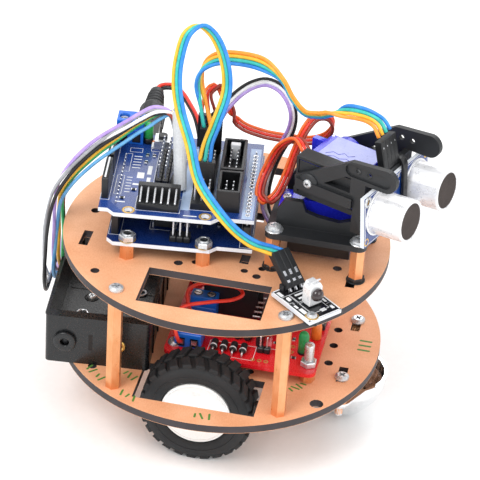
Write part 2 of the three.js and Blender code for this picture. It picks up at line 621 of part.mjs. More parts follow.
// ---------------------------------------------------------------- cords, each along its route
const ROUTES = {
  ribbon_ir: [[-8.8, -6.2, 80.2], [-8.2, -5, 87], [-6, -4, 95], [-3, -2, 109], [-5, 0, 120], [-9.5, 1, 128.5],
    [-14, 0, 132], [-18, -3, 130], [-20, -7, 121], [-19.5, -11, 113], [-17, -15, 105], [-12, -20, 95],
    [-7, -26, 84], [1, -31, 76.5], [9, -33.4, 70], [15.5, -32, 65], [20, -29, 62]],
  ribbon_sonar_base: [[-12.4, 15.4, 82], [-15, 18, 89], [-17.5, 20.5, 97], [-16.5, 20.8, 103], [-12, 20, 108],
    [-2, 16, 112], [8, 12, 113], [15, 9, 110], [20, 7, 103.5], [25, 5.5, 99.6], [30.5, 4.4, 100.4]],
  ribbon_sonar_head: [[31.2, 4.2, 100.6], [34.8, 3.2, 102.6], [39, 1.9, 104.8], [44, -0.6, 106.6],
    [49, -3.4, 107.4], [53, -5.6, 106.6], [55.4, -6.9, 103.5]],
  pan_servo_lead: [[-11.4, 18.9, 82], [-7, 20, 88.6], [-2, 20, 95.5], [3, 19.6, 100], [8, 19, 102.2],
    [13, 18.6, 100.8], [16.6, 18.4, 96.6], [18.6, 18.4, 91], [18.4, 18.6, 84.8], [16.2, 18.8, 78],
    [13.6, 18.4, 71.5], [11.7, 17.4, 64.5], [10.9, 16, 58], [11.6, 13, 52.4], [14.8, 8, 50], [18.8, 2.6, 50],
    [22.6, -0.6, 51.4]],
  tilt_servo_lead: [[28.4, -2.2, 86], [26.4, -1, 89.4], [22.9, 3.6, 89.6], [16.8, 6, 84], [12.9, 6.6, 75],
    [11.2, 3, 69.6], [11.6, -1.5, 66], [14.4, -2.2, 64.6], [17.2, 0, 66.2], [20, 3, 73], [22.4, 5.4, 83],
    [25.2, 8.5, 91.6], [28.4, 12, 95], [32.2, 14.2, 94.4], [34, 16, 90], [31.4, 18.4, 83.6], [25.6, 20.6, 79.4],
    [17, 22.6, 77.6], [6, 24.6, 76.9], [-2.8, 26, 79], [-7.6, 27.4, 86], [-11.4, 27.6, 92.6], [-14.6, 25, 91],
    [-13.6, 22.6, 82.5]],
  harness: [[-17.5, -6, 71], [-18.3, -5, 80], [-19.6, -4, 90], [-22.6, -3, 96.2], [-28, -2.6, 95.6],
    [-34, -3, 91.6], [-41, -4, 85.4], [-50, -5.4, 77], [-58.5, -8, 67], [-64, -10, 57.5], [-66, -12, 47],
    [-66.6, -12.6, 35], [-67.4, -11.4, 23], [-68.4, -5, 13], [-70, 7, 9.6], [-71.6, 20, 9], [-72, 33, 9],
    [-69.5, 43.5, 9.4], [-61, 49.5, 10], [-49, 51.5, 11], [-38, 53.4, 12], [-28, 54, 13], [-21.5, 49, 14],
    [-20.4, 40, 15], [-20.4, 32, 15.4], [-18.6, 25.5, 14.6], [-13.6, 19.5, 14.4]],
  power_lead: [[-44.4, 73.2, 59.6], [-43, 76, 60], [-39, 76.6, 60.4], [-34, 72, 60.4], [-29, 64, 60.4],
    [-24.5, 56, 59.4], [-20.5, 48, 54], [-18.6, 43, 45], [-18.5, 39.5, 35], [-20, 37.4, 26], [-24.6, 36.6, 19]],
};

function addCords() {
  const cord = (name, radius, material) => add(robot, name, tube(ROUTES[name], radius), material);
  cord("ribbon_ir", RIBBON_R, MAT.yellow);
  cord("ribbon_sonar_base", RIBBON_R, MAT.green);
  cord("ribbon_sonar_head", RIBBON_R, MAT.green);
  cord("pan_servo_lead", LEAD_R, MAT.purple);
  cord("tilt_servo_lead", LEAD_R, MAT.orange);
  cord("harness", HARNESS_R, MAT.grey);
  cord("power_lead", POWER_LEAD_R, MAT.black);
}

addPlates();
addDrive("right", -1);
addDrive("left", 1);
addCaster();
addBatteryHolder();
addDriver();
addController();
addShield();
addInfrared();
addPanBase();
addPanYoke();
addTiltBracket();
addSonar();
addPowerPlug();
addCords();

export default robot;
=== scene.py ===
import math

import bpy
from mathutils import Matrix, Vector


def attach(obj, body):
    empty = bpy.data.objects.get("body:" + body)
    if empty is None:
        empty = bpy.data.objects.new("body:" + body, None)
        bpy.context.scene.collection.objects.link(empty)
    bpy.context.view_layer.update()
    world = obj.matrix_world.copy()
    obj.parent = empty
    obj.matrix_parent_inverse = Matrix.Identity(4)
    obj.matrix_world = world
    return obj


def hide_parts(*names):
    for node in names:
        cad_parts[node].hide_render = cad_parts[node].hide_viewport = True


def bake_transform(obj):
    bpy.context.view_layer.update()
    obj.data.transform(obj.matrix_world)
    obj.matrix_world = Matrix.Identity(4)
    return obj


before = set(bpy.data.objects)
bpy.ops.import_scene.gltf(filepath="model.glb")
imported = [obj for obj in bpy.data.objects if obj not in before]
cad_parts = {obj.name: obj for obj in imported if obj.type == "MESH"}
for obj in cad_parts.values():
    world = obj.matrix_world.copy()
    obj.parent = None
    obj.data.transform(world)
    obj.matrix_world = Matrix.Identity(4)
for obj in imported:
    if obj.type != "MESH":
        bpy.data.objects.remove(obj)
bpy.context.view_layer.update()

# The two wheel robot car's looks. Lengths are millimetres until a mesh is made, then metres.
MM = 0.001
DECK = 46.12
LOWER_DECK = 3.12
FILM_THICK = 0.12
BOARD_TOP = 53.6
SHIELD_TOP = 66.2
DRIVER_TOP = 10.0
INFRARED_TOP = 49.0
FLOOR_Z = -26.5
FLOOR_HALF_M = 6.0
AXLE_Z = -5
PIN = 2.54
PIN_HALF = 0.32
INK = 0.03


def turn(axis, degrees):
    return Matrix.Rotation(math.radians(degrees), 4, axis)


def move(x, y, z=0.0):
    return Matrix.Translation((x, y, z))


# The frames of the groups. On the boards, v runs from back to front, which is minus y.
WORLD = Matrix.Identity(4)
BOARDS = move(-48.1, 40.1) @ turn("Z", 7)
INFRARED = move(36.8, -38.5) @ turn("Z", -41)
PAN = move(41.1, -1.1) @ turn("Z", -22)
SONAR = PAN @ move(22.1, 0, 79.5) @ turn("Y", -5)
HOLDER = move(-43.6, 2.2) @ turn("Z", 5.5)


# ---------------------------------------------------------------- camera, light and floor
CAMERA_ANGLES = (-9.45, 33.49, 3.78)
CAMERA_DISTANCE = 915.2
CAMERA_AIM = (5, 0, 44.4)
SENSOR_WIDTH = 36
LENS = 184.2375
LAMP_AIM = (0, 0, 0.03)


def add_object(name, data):
    made = bpy.data.objects.new(name, data)
    bpy.context.scene.collection.objects.link(made)
    return made


def add_camera():
    """CAMERA_ANGLES are the azimuth, the elevation and the roll, in degrees."""
    azimuth, elevation, roll = (math.radians(a) for a in CAMERA_ANGLES)
    level = Vector((math.cos(azimuth), -math.sin(azimuth), 0))
    ahead = Vector((math.sin(azimuth) * math.cos(elevation), math.cos(azimuth) * math.cos(elevation),
                    -math.sin(elevation)))
    rise = level.cross(ahead)
    right = math.cos(roll) * level + math.sin(roll) * rise
    up = math.cos(roll) * rise - math.sin(roll) * level
    data = bpy.data.cameras.new("camera")
    data.sensor_width = SENSOR_WIDTH
    data.lens = LENS
    data.clip_end = 20
    camera = add_object("camera", data)
    basis = Matrix((right, up, -ahead)).transposed().to_4x4()
    camera.matrix_world = Matrix.Translation((Vector(CAMERA_AIM) - CAMERA_DISTANCE * ahead) * MM) @ basis
    bpy.context.scene.camera = camera


def add_area(name, place, size, power):
    """A round lamp. Its place and size are in metres."""
    data = bpy.data.lights.new(name, "AREA")
    data.shape = "DISK"
    data.size = size
    data.energy = power
    lamp = add_object(name, data)
    lamp.location = place
    lamp.rotation_euler = (Vector(LAMP_AIM) - Vector(place)).to_track_quat("-Z", "Y").to_euler()


def add_studio():
    world = bpy.data.worlds.new("studio")
    world.use_nodes = True
    sky = world.node_tree.nodes["Background"]
    sky.inputs["Color"].default_value = (1, 1, 1, 1)
    sky.inputs["Strength"].default_value = 0.95
    bpy.context.scene.world = world
    add_area("key", (-0.45, -0.7, 1.1), 0.7, 9.5)
    add_area("fill", (0.9, -0.5, 0.7), 0.9, 4)
    add_area("back", (0.1, 0.9, 0.8), 0.8, 4)
    bpy.context.scene.view_settings.view_transform = "Standard"


# ---------------------------------------------------------------- materials
def tone(code):
    """The linear colour of a hexadecimal sRGB code."""
    parts = [int(code[k:k + 2], 16) / 255 for k in (0, 2, 4)]
    return [p / 12.92 if p <= 0.04045 else ((p + 0.055) / 1.055) ** 2.4 for p in parts] + [1]


def add_node(tree, kind, values):
    node = tree.nodes.new("ShaderNode" + kind)
    for name, value in values.items():
        node.inputs[name].default_value = value
    return node


def add_noise(tree, place, scale, detail):
    noise = add_node(tree, "TexNoise", {"Scale": scale, "Detail": detail})
    tree.links.new(place, noise.inputs["Vector"])
    return noise.outputs["Fac"]


def spread(tree, value, low, high):
    """A noise value, which stays near the middle, opened out to run from low to high."""
    span = add_node(tree, "MapRange", {"From Min": 0.3, "From Max": 0.7, "To Min": low, "To Max": high})
    tree.links.new(value, span.inputs["Value"])
    return span.outputs["Result"]


def paint(name, dark, light, rough, metal=0.0, grain=1500, depth=0.02, coat=0.0, stretch=(1, 1, 1), broad=90):
    """A surface that wanders between two tones, with a fine grain in its gloss and its height.
    grain and broad are noise scales per metre, and depth is the grain's height in millimetres."""
    material = bpy.data.materials.new(name)
    material.use_nodes = True
    tree = material.node_tree
    shader = tree.nodes["Principled BSDF"].inputs
    shader["Metallic"].default_value = metal
    shader["Coat Weight"].default_value = coat
    place = tree.nodes.new("ShaderNodeTexCoord").outputs["Object"]
    scale = add_node(tree, "Mapping", {"Scale": stretch})
    tree.links.new(place, scale.inputs["Vector"])
    fine = add_noise(tree, scale.outputs["Vector"], grain, 3)
    wide = add_noise(tree, place, broad, 2)
    blend = add_node(tree, "Mix", {"Factor": 0.55})
    tree.links.new(spread(tree, fine, 0, 1), blend.inputs["A"])
    tree.links.new(spread(tree, wide, 0, 1), blend.inputs["B"])
    ramp = tree.nodes.new("ShaderNodeValToRGB")
    ramp.color_ramp.elements[0].color = tone(dark)
    ramp.color_ramp.elements[1].color = tone(light)
    tree.links.new(blend.outputs["Result"], ramp.inputs["Fac"])
    tree.links.new(ramp.outputs["Color"], shader["Base Color"])
    tree.links.new(spread(tree, fine, max(rough - 0.08, 0.03), min(rough + 0.08, 1)), shader["Roughness"])
    bump = add_node(tree, "Bump", {"Distance": depth * MM, "Strength": 0.6})
    tree.links.new(fine, bump.inputs["Height"])
    tree.links.new(bump.outputs["Normal"], shader["Normal"])
    return material


def mask(name, dark, light, rough=0.3, depth=0.01):
    """A circuit board's lacquer."""
    return paint(name, dark, light, rough, grain=2800, coat=0.3, depth=depth)


FILM = paint("kraft_film", "d69062", "efb68e", 0.62, grain=2600, depth=0.03, stretch=(1, 0.35, 1), broad=60)
LAMINATE = paint("plate_laminate", "2b2628", "3f383b", 0.6, grain=3200, depth=0.04, stretch=(1, 1, 6))
PRINT = paint("green_print", "47762c", "5f9440", 0.6, grain=2600)
COPPER = paint("copper_post", "d8935f", "eeb183", 0.34, metal=0.75, grain=600, depth=0.006,
               stretch=(1, 1, 0.4))
BRASS = paint("brass", "c99a3f", "e6c173", 0.3, metal=0.9, grain=2400)
STEEL = paint("bright_steel", "c2c4c7", "e4e6e8", 0.3, metal=0.8, grain=900, depth=0.004)
TINNED = paint("tinned_pin", "c4c6ca", "e9eaee", 0.3, metal=0.85, grain=3000)
CHROME = paint("chrome", "d9dcde", "f6f7f8", 0.09, metal=1, grain=600, depth=0.004)
NYLON = paint("black_nylon", "151618", "232528", 0.5, grain=2200, depth=0.03)
PLASTIC = paint("black_plastic", "0f1012", "1c1d20", 0.38, grain=2600, depth=0.015)
HOLDER_BLACK = paint("holder_black", "101113", "1d1e20", 0.3, grain=1700, depth=0.025)
RUBBER = paint("tyre_rubber", "17181a", "262729", 0.72, grain=1900, depth=0.05)
WHITE = paint("white_nylon", "eeedea", "fbfbf9", 0.4, grain=1800)
RED_MASK = mask("driver_red", "cc1420", "f0202c", 0.28)
BLUE_MASK = mask("board_blue", "122f70", "1d4693")
# The controller's lacquer is darker than the shield's; that extra darkness is painted shade of the shield
# that covers the controller.
SHADED_BLUE_MASK = mask("board_blue_shaded", "0a1d4c", "12306e")
BLACK_MASK = mask("board_black", "111214", "1e1f22", depth=0.02)
BOARD_EDGE = paint("board_edge", "cdd3dc", "eceff3", 0.6, grain=2600)
SLEEVE = paint("pale_sleeve", "b9bdc1", "dde0e3", 0.4, grain=1300)
SILK = paint("white_print", "d8dade", "f4f5f6", 0.55, grain=3000)
SERVO = paint("servo_blue", "1a1fb4", "2a33d8", 0.2, grain=1300, coat=0.25)
STICKER = paint("servo_sticker", "8f95cf", "b0b5e6", 0.35)
STICKER_DARK = paint("sticker_figure", "2a2f9a", "3b41b8", 0.35)
TERMINAL = paint("terminal_blue", "0f56b8", "1a74dc", 0.35, grain=1800)
TERMINAL_GREEN = paint("part_green", "1f8f3c", "35b257", 0.35, grain=1800)
GREEN_CAP = paint("capacitor_green", "14713a", "2aa35a", 0.35, grain=1200)
ORANGE_PART = paint("part_orange", "d2691e", "f08a3c", 0.4, grain=1200)
ALUMINIUM = paint("can_aluminium", "e2e3e6", "f6f6f8", 0.32, metal=0.4, grain=500, depth=0.001, broad=40)
MESH_WIRE = paint("mesh_wire", "453c39", "5f5450", 0.5, metal=0.4, grain=2600)
MESH_DARK = paint("mesh_dark", "161313", "241f1e", 0.8, grain=2600)
CRYSTAL = paint("crystal_can", "c4c6ca", "e2e4e8", 0.28, metal=0.7)
PALE_BLUE = paint("pale_strip", "8fa9cf", "b3c6e2", 0.4, grain=1800)
GOLD = paint("gold_pad", "c79a4a", "e3c07a", 0.35, metal=0.8, grain=2400)
GLASS_RED = paint("indicator_red", "a01818", "d32b2b", 0.15, grain=900, coat=0.5)
SMOKE = paint("receiver_steel", "dcdde0", "f4f5f6", 0.3, metal=0.3, grain=500, depth=0.001)
LENS_DARK = paint("receiver_lens", "1a1113", "2c1c1f", 0.12, grain=900, coat=0.6)
WIRE = {name: paint("wire_" + name, dark, light, 0.42, grain=700, broad=150) for name, dark, light in (
    ("yellow", "e9a91c", "fbc843"), ("green", "2ba361", "49c983"), ("teal", "1fa7a0", "44cdbd"),
    ("blue", "1f74cf", "3f9be8"), ("orange", "ef8a1d", "fba63f"), ("red", "d6261a", "f0432f"),
    ("scarlet", "e2571c", "f8762f"), ("purple", "a183cf", "c4abe8"), ("white", "e6e6e8", "f8f8f9"),
    ("black", "121214", "212226"), ("grey", "8a8c90", "adafb4"), ("sky", "4a93cf", "76b7e4"),
    ("maroon", "7c2c1e", "a8402c"))}


# ---------------------------------------------------------------- mesh building
def circle(radius, sides, x=0.0, y=0.0, start=0.0):
    angles = [start + math.tau * k / sides for k in range(sides)]
    return [(x + radius * math.cos(a), y + radius * math.sin(a)) for a in angles]


def rounded(x0, x1, y0, y1, r, steps=2):
    """A rectangle's outline with round corners, anticlockwise."""
    points = []
    for cx, cy, a0 in ((x1 - r, y0 + r, -90), (x1 - r, y1 - r, 0), (x0 + r, y1 - r, 90),
                       (x0 + r, y0 + r, 180)):
        for k in range(steps):
            a = math.radians(a0 + 90 * k / (steps - 1))
            points.append((cx + r * math.cos(a), cy + r * math.sin(a)))
    return points


def shrink(outline, amount):
    """The outline moved inwards by amount, corner by corner, for an anticlockwise outline."""
    made = []
    count = len(outline)
    for k, (x, y) in enumerate(outline):
        ax, ay = outline[k - 1]
        bx, by = outline[(k + 1) % count]
        n1 = Vector((ay - y, x - ax)).normalized()
        n2 = Vector((y - by, bx - x)).normalized()
        middle = n1 + n2
        if middle.length < 1e-6:
            middle = n1
        middle = middle / max(middle.length_squared / 2, 0.5)
        made.append((x + middle.x * amount, y + middle.y * amount))
    return made


def raised(levels):
    """Flat outlines at heights, as rings of 3-D points."""
    return [[(x, y, z) for x, y in outline] for outline, z in levels]


def outwards(side, low, high):
    """The span from low to high on one side of the middle, in rising order."""
    return sorted((side * low, side * high))


class Piece:
    """One mesh of many small closed shapes, each with its own material and local frame."""

    def __init__(self, name, home=WORLD):
        self.name = name
        self.home = home
        self.points = []
        self.faces = []
        self.kinds = []
        self.smooth = []
        self.paints = []

    def loft(self, rings, material, at=WORLD, smooth=False, caps=True, closed=False):
        """Joins rings of as many points each. The first ring's cap faces back and the last one's forward."""
        if material not in self.paints:
            self.paints.append(material)
        kind = self.paints.index(material)
        place = self.home @ at
        base = len(self.points)
        size = len(rings[0])
        for ring in rings:
            self.points.extend(place @ Vector(p) for p in ring)
        count = len(rings)
        for k in range(count if closed else count - 1):
            low = base + k * size
            high = base + (k + 1) % count * size
            for j in range(size):
                i = (j + 1) % size
                self.faces.append((low + j, low + i, high + i, high + j))
                self.kinds.append(kind)
                self.smooth.append(smooth)
        if caps and not closed:
            last = base + (count - 1) * size
            self.faces.append(tuple(base + size - 1 - j for j in range(size)))
            self.faces.append(tuple(last + j for j in range(size)))
            self.kinds.extend((kind, kind))
            self.smooth.extend((False, False))

    def prism(self, outline, z0, z1, material, edge, at=WORLD):
        """An outline drawn out in z, with its edges broken."""
        inner = shrink(outline, edge)
        rings = raised(((inner, z0), (outline, z0 + edge), (outline, z1 - edge), (inner, z1)))
        self.loft(rings, material, at)

    def box(self, x, y, z, material, edge=0.15, at=WORLD, corner=None):
        corner = edge if corner is None else corner
        outline = rounded(x[0], x[1], y[0], y[1], corner, 2 if corner == edge else 5)
        self.prism(outline, z[0], z[1], material, edge, at)

    def block(self, x, y, half_x, half_y, z, material, edge):
        """A box about x, y."""
        self.box((x - half_x, x + half_x), (y - half_y, y + half_y), z, material, edge)

    def pin(self, x, y, z0, z1, edge=0.14):
        """A square header pin."""
        self.block(x, y, PIN_HALF, PIN_HALF, (z0, z1), TINNED, edge)

    def bar(self, x, y, wide, long, z):
        """A bar of white print that lies on z."""
        self.block(x, y, wide / 2, long / 2, (z, z + INK), SILK, 0.01)

    def outline(self, x0, x1, y0, y1, z, line):
        """A frame of white print that lies on z."""
        for x in (x0, x1):
            self.box((x - line / 2, x + line / 2), sorted((y0, y1)), (z, z + INK), SILK, 0.01)
        for y in (y0, y1):
            self.box((x0, x1), (y - line / 2, y + line / 2), (z, z + INK), SILK, 0.01)

    def rod(self, x, y, z0, z1, radius, material, sides=16, edge=0.15, at=WORLD):
        """A round rod up z. Its sides are smooth and its ends are broken."""
        levels = ((radius - edge, z0), (radius, z0 + edge), (radius, z1 - edge), (radius - edge, z1))
        self.loft(raised((circle(r, sides, x, y), z) for r, z in levels), material, at, True)

    def hexagon(self, x, y, z0, z1, across, material, start=0.0):
        self.prism(circle(across / math.sqrt(3), 6, x, y, start), z0, z1, material, 0.25)

    def lathe(self, profile, material, sides=24, at=WORLD, closed=False):
        """A turned shape about z, from [radius, z] points."""
        rings = raised((circle(max(r, 0.01), sides), z) for r, z in profile)
        self.loft(rings, material, at, True, not closed, closed)

    def ring(self, radius, thick, material, at, sides, around=8):
        """A round ring in the x-y plane."""
        rings = []
        for cos_a, sin_a in circle(1, sides):
            section = [(radius + thick * cos_b, -thick * sin_b) for cos_b, sin_b in circle(1, around)]
            rings.append([(r * cos_a, r * sin_a, z) for r, z in section])
        self.loft(rings, material, at, True, False, True)

    def pad(self, radius, thick, flat, at, sides, around=8, material=GOLD):
        """A ring pressed flat, as the solder round a hole."""
        self.ring(radius, thick, material, at @ Matrix.Diagonal((1, 1, flat, 1)), sides, around)

    def tube(self, points, radius, material, sides=8):
        self.loft(sweep(points, radius, sides), material, WORLD, True)

    def screw(self, x, y, z, radius, spin, at=WORLD):
        """A pan head with a cross cut down into its top."""
        w, l = radius * 0.13, radius * 0.5
        cross = []
        for k in range(4):
            quarter = turn("Z", 90 * k)
            for px, py in ((l, -w), (l, 0), (l, w), ((l + w) / 2, w), (w, w), (w, (l + w) / 2)):
                p = quarter @ Vector((px, py, 0))
                cross.append((p.x, p.y))
        height = radius * 0.6
        levels = [(circle(radius * share, 24, start=math.radians(-15)), height * up)
                  for share, up in ((0.97, 0), (1, 0.3), (0.93, 0.68), (0.62, 1))]
        self.loft(raised([*levels, (cross, height), (cross, height * 0.25)]), STEEL,
                  at @ move(x, y, z) @ turn("Z", spin))

    def make(self, body, replaces=(), blend=None):
        """blend gives two bodies, and the points where the change from one to the other starts and ends. Only
        whether blend is given is read: then the mesh is baked into world space and attached to no body; its
        bodies and points are not used.
        """
        mesh = bpy.data.meshes.new(self.name)
        mesh.from_pydata([p * MM for p in self.points], [], self.faces)
        for material in self.paints:
            mesh.materials.append(material)
        mesh.polygons.foreach_set("material_index", self.kinds)
        mesh.polygons.foreach_set("use_smooth", self.smooth)
        mesh.validate()
        mesh.update()
        obj = add_object(self.name, mesh)
        if blend:
            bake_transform(obj)
        else:
            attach(obj, body)
        if replaces:
            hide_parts(*replaces)
        return obj


# ---------------------------------------------------------------- routes
def through(points, step=1.5):
    """Points close together on the centripetal Catmull-Rom curve through the given ones."""
    knots = [Vector(p) for p in points]
    knots = [2 * knots[0] - knots[1], *knots, 2 * knots[-1] - knots[-2]]
    made = []
    for a, b, c, d in zip(knots, knots[1:], knots[2:], knots[3:]):
        t1 = max((b - a).length, 1e-6) ** 0.5
        t2 = max((c - b).length, 1e-6) ** 0.5
        t3 = max((d - c).length, 1e-6) ** 0.5
        m1 = ((b - a) / t1 - (c - a) / (t1 + t2) + (c - b) / t2) * t2
        m2 = ((c - b) / t2 - (d - b) / (t2 + t3) + (d - c) / t3) * t2
        count = max(2, math.ceil((c - b).length / step))
        for k in range(count):
            t = k / count
            made.append((2 * t ** 3 - 3 * t * t + 1) * b + (t ** 3 - 2 * t * t + t) * m1
                        + (3 * t * t - 2 * t ** 3) * c + (t ** 3 - t * t) * m2)
    return [*made, knots[-2]]


def headings(points):
    """The direction of travel at each point."""
    count = len(points)
    return [(points[min(k + 1, count - 1)] - points[max(k - 1, 0)]).normalized() for k in range(count)]


def square_to(vector, way):
    """The unit vector nearest to vector that is square to way."""
    return (vector - vector.dot(way) * way).normalized()


def smoothly(share):
    return share * share * (3 - 2 * share)


def sweep(points, radius, sides):
    """Rings round a line, turned as little as possible from one to the next."""
    points = [Vector(p) for p in points]
    ways = headings(points)
    side = ways[0].orthogonal().normalized()
    rings = []
    for point, way in zip(points, ways):
        side = square_to(side, way)
        other = way.cross(side)
        rings.append([tuple(point + radius * (c * side + s * other)) for c, s in circle(1, sides)])
    return rings


def measure(points):
    return sum((b - a).length for a, b in zip(points, points[1:]))


def across(points, marks):
    """A sideways unit vector at each point. marks gives (share of the length, direction), in order."""
    total = measure(points)
    ways = headings(points)
    run = 0.0
    made = []
    for k, point in enumerate(points):
        if k:
            run += (point - points[k - 1]).length
        share = run / total
        low = max([m for m in marks if m[0] <= share], key=lambda m: m[0], default=marks[0])
        high = min([m for m in marks if m[0] > share], key=lambda m: m[0], default=marks[-1])
        part = 0 if high[0] <= low[0] else (share - low[0]) / (high[0] - low[0])
        wish = Vector(low[1]).normalized().lerp(Vector(high[1]).normalized(), part)
        made.append(square_to(wish, ways[k]))
    return made


def ribbon(piece, points, marks, colours, pitch, radius, head=None, tail=None):
    """Wires side by side along a line. head and tail give (length, offsets): over that length at the start or
    the end, each wire goes over to an offset of its own, as where it enters a plug."""
    total = measure(points)
    sides = across(points, marks)
    run = [0.0]
    for a, b in zip(points, points[1:]):
        run.append(run[-1] + (b - a).length)
    for number, colour in enumerate(colours):
        place = (number - (len(colours) - 1) / 2) * pitch
        line = []
        for point, side, gone in zip(points, sides, run):
            offset = side * place
            for end, left in ((head, gone), (tail, total - gone)):
                if end and left < end[0]:
                    offset = offset.lerp(Vector(end[1][number]), smoothly(1 - left / end[0]))
            line.append(point + offset)
        piece.tube(line, radius, WIRE[colour])


# ---------------------------------------------------------------- cords
# The points each lead passes through, in millimetres.
ROUTES = {
    "ribbon_ir": [(-8.8, -6.2, 80.2), (-8.2, -5, 87), (-6, -4, 95), (-3, -2, 109), (-5, 0, 120),
                  (-9.5, 1, 128.5), (-14, 0, 132), (-18, -3, 130), (-20, -7, 121), (-19.5, -11, 113),
                  (-17, -15, 105), (-12, -20, 95), (-7, -26, 84), (1, -31, 76.5), (9, -33.4, 70),
                  (15.5, -32, 65), (20, -29, 62), (24.4, -26.8, 59.4)],
    "ribbon_sonar_base": [(-12.4, 15.4, 82), (-15, 18, 89), (-17.5, 20.5, 97), (-16.5, 20.8, 103),
                          (-12, 20, 108), (-2, 16, 112), (8, 12, 113), (15, 9, 110), (20, 7, 103.5),
                          (25, 5.5, 99.6), (30.5, 4.4, 100.4)],
    "ribbon_sonar_head": [(31.2, 4.2, 100.6), (34.8, 3.2, 102.6), (39, 1.9, 104.8), (44, -0.6, 106.6),
                          (49, -3.4, 107.4), (53, -5.6, 106.6), (55.4, -6.9, 103.5)],
    "pan_servo_lead": [(-11.4, 18.9, 82), (-7, 20, 88.6), (-2, 20, 95.5), (3, 19.6, 100), (8, 19, 102.2),
                       (13, 18.6, 100.8), (16.6, 18.4, 96.6), (18.6, 18.4, 91), (18.4, 18.6, 84.8),
                       (16.2, 18.8, 78), (13.6, 18.4, 71.5), (11.7, 17.4, 64.5), (10.9, 16, 58),
                       (11.6, 13, 52.4), (14.8, 8, 50), (18.8, 2.6, 50), (22.6, -0.6, 51.4)],
    "tilt_servo_lead": [(28.4, -2.2, 86), (26.4, -1, 89.4), (22.9, 3.6, 89.6), (16.8, 6, 84), (12.9, 6.6, 75),
                        (11.2, 3, 69.6), (11.6, -1.5, 66), (14.4, -2.2, 64.6), (17.2, 0, 66.2), (20, 3, 73),
                        (22.4, 5.4, 83), (25.2, 8.5, 91.6), (28.4, 12, 95), (32.2, 14.2, 94.4), (34, 16, 90),
                        (31.4, 18.4, 83.6), (25.6, 20.6, 79.4), (17, 22.6, 77.6), (6, 24.6, 76.9),
                        (-2.8, 26, 79), (-7.6, 27.4, 86), (-11.4, 27.6, 92.6), (-14.6, 25, 91),
                        (-13.6, 22.6, 82.5)],
    "harness": [(-17.5, -6, 71), (-18.3, -5, 80), (-19.6, -4, 90), (-22.6, -3, 96.2), (-28, -2.6, 95.6),
                (-34, -3, 91.6), (-41, -4, 85.4), (-50, -5.4, 77), (-58.5, -8, 67), (-64, -10, 57.5),
                (-66, -12, 47), (-66.6, -12.6, 35), (-67.4, -11.4, 23), (-68.4, -5, 13), (-70, 7, 9.6),
                (-71.6, 20, 9), (-72, 33, 9), (-69.5, 43.5, 9.4), (-61, 49.5, 10), (-49, 51.5, 11),
                (-38, 53.4, 12), (-28, 54, 13), (-21.5, 49, 14), (-20.4, 40, 15), (-20.4, 32, 15.4),
                (-18.6, 25.5, 14.6), (-13.6, 19.5, 14.4)],
    "power_lead": [(-44.4, 73.2, 59.6), (-43, 76, 60), (-39, 76.6, 60.4), (-34, 72, 60.4), (-29, 64, 60.4),
                   (-24.5, 56, 59.4), (-20.5, 48, 54), (-18.6, 43, 45), (-18.5, 39.5, 35), (-20, 37.4, 26),
                   (-24.6, 36.6, 19)],
}

# Directions as the camera sees them, and those of the plugs' rows.
RIGHT = (0.98, 0.2, 0.05)
UP = (-0.09, 0.54, 0.83)
DOWN = (0.09, -0.54, -0.83)
EDGE_ON = (-0.12, 0.62, -0.74)
BOARD_X = BOARDS.to_3x3() @ Vector((1, 0, 0))
BOARD_Y = BOARDS.to_3x3() @ Vector((0, 1, 0))
HEAD_Y = PAN.to_3x3() @ Vector((0, 1, 0))
IR_Y = INFRARED.to_3x3() @ Vector((0, 1, 0))
LEAD_PITCH = 1.25
LEAD_R = 0.62
RIBBON_PITCH = 1.42
RIBBON_R = 0.71
LOOSE_R = 0.7


def row_of(way, count, pitch=PIN):
    """Offsets of a straight row of wires."""
    return [way * (k - (count - 1) / 2) * pitch for k in range(count)]


def add_ribbon_ir():
    points = through(ROUTES["ribbon_ir"])
    flat = (0.9, -0.24, 0.32)
    piece = Piece("ribbon_ir_wires")
    ribbon(piece, points, [(0, BOARD_X), (0.12, flat), (0.85, flat), (1, IR_Y)], ["yellow", "teal", "blue"],
           RIBBON_PITCH, RIBBON_R, head=(9, row_of(BOARD_X, 3, 1.9)), tail=(16, row_of(IR_Y, 3)))
    obj = piece.make("chassis", ["ribbon_ir"])


def add_ribbon_sonar():
    colours = ["orange", "yellow", "teal", "blue"]
    points = through(ROUTES["ribbon_sonar_base"])
    x, y = BOARD_X * PIN / 2, BOARD_Y * PIN / 2
    square = [x - y, x + y, -x - y, -x + y]
    piece = Piece("ribbon_sonar_base_wires")
    ribbon(piece, points, [(0, (-0.3, -0.9, 0)), (0.2, (-0.3, -0.9, -0.2)), (0.42, DOWN), (0.6, DOWN),
                           (0.74, EDGE_ON), (1, EDGE_ON)],
           colours, RIBBON_PITCH, RIBBON_R, head=(18, square))
    base = piece.make("chassis", ["ribbon_sonar_base"],
                      blend=("chassis", "pan_head", (-12, 14, 100), (28, 5, 100)))
    reach = through(ROUTES["ribbon_sonar_head"])
    piece = Piece("ribbon_sonar_head_wires")
    ribbon(piece, [points[-1], *reach], [(0, EDGE_ON), (0.12, EDGE_ON), (0.45, UP), (1, HEAD_Y)],
           colours, RIBBON_PITCH, RIBBON_R, tail=(11, row_of(HEAD_Y, 4)))
    head = piece.make("pan_head", ["ribbon_sonar_head"],
                      blend=("pan_head", "tilt_head", (33, 3.4, 101.5), (53, -5.5, 106)))


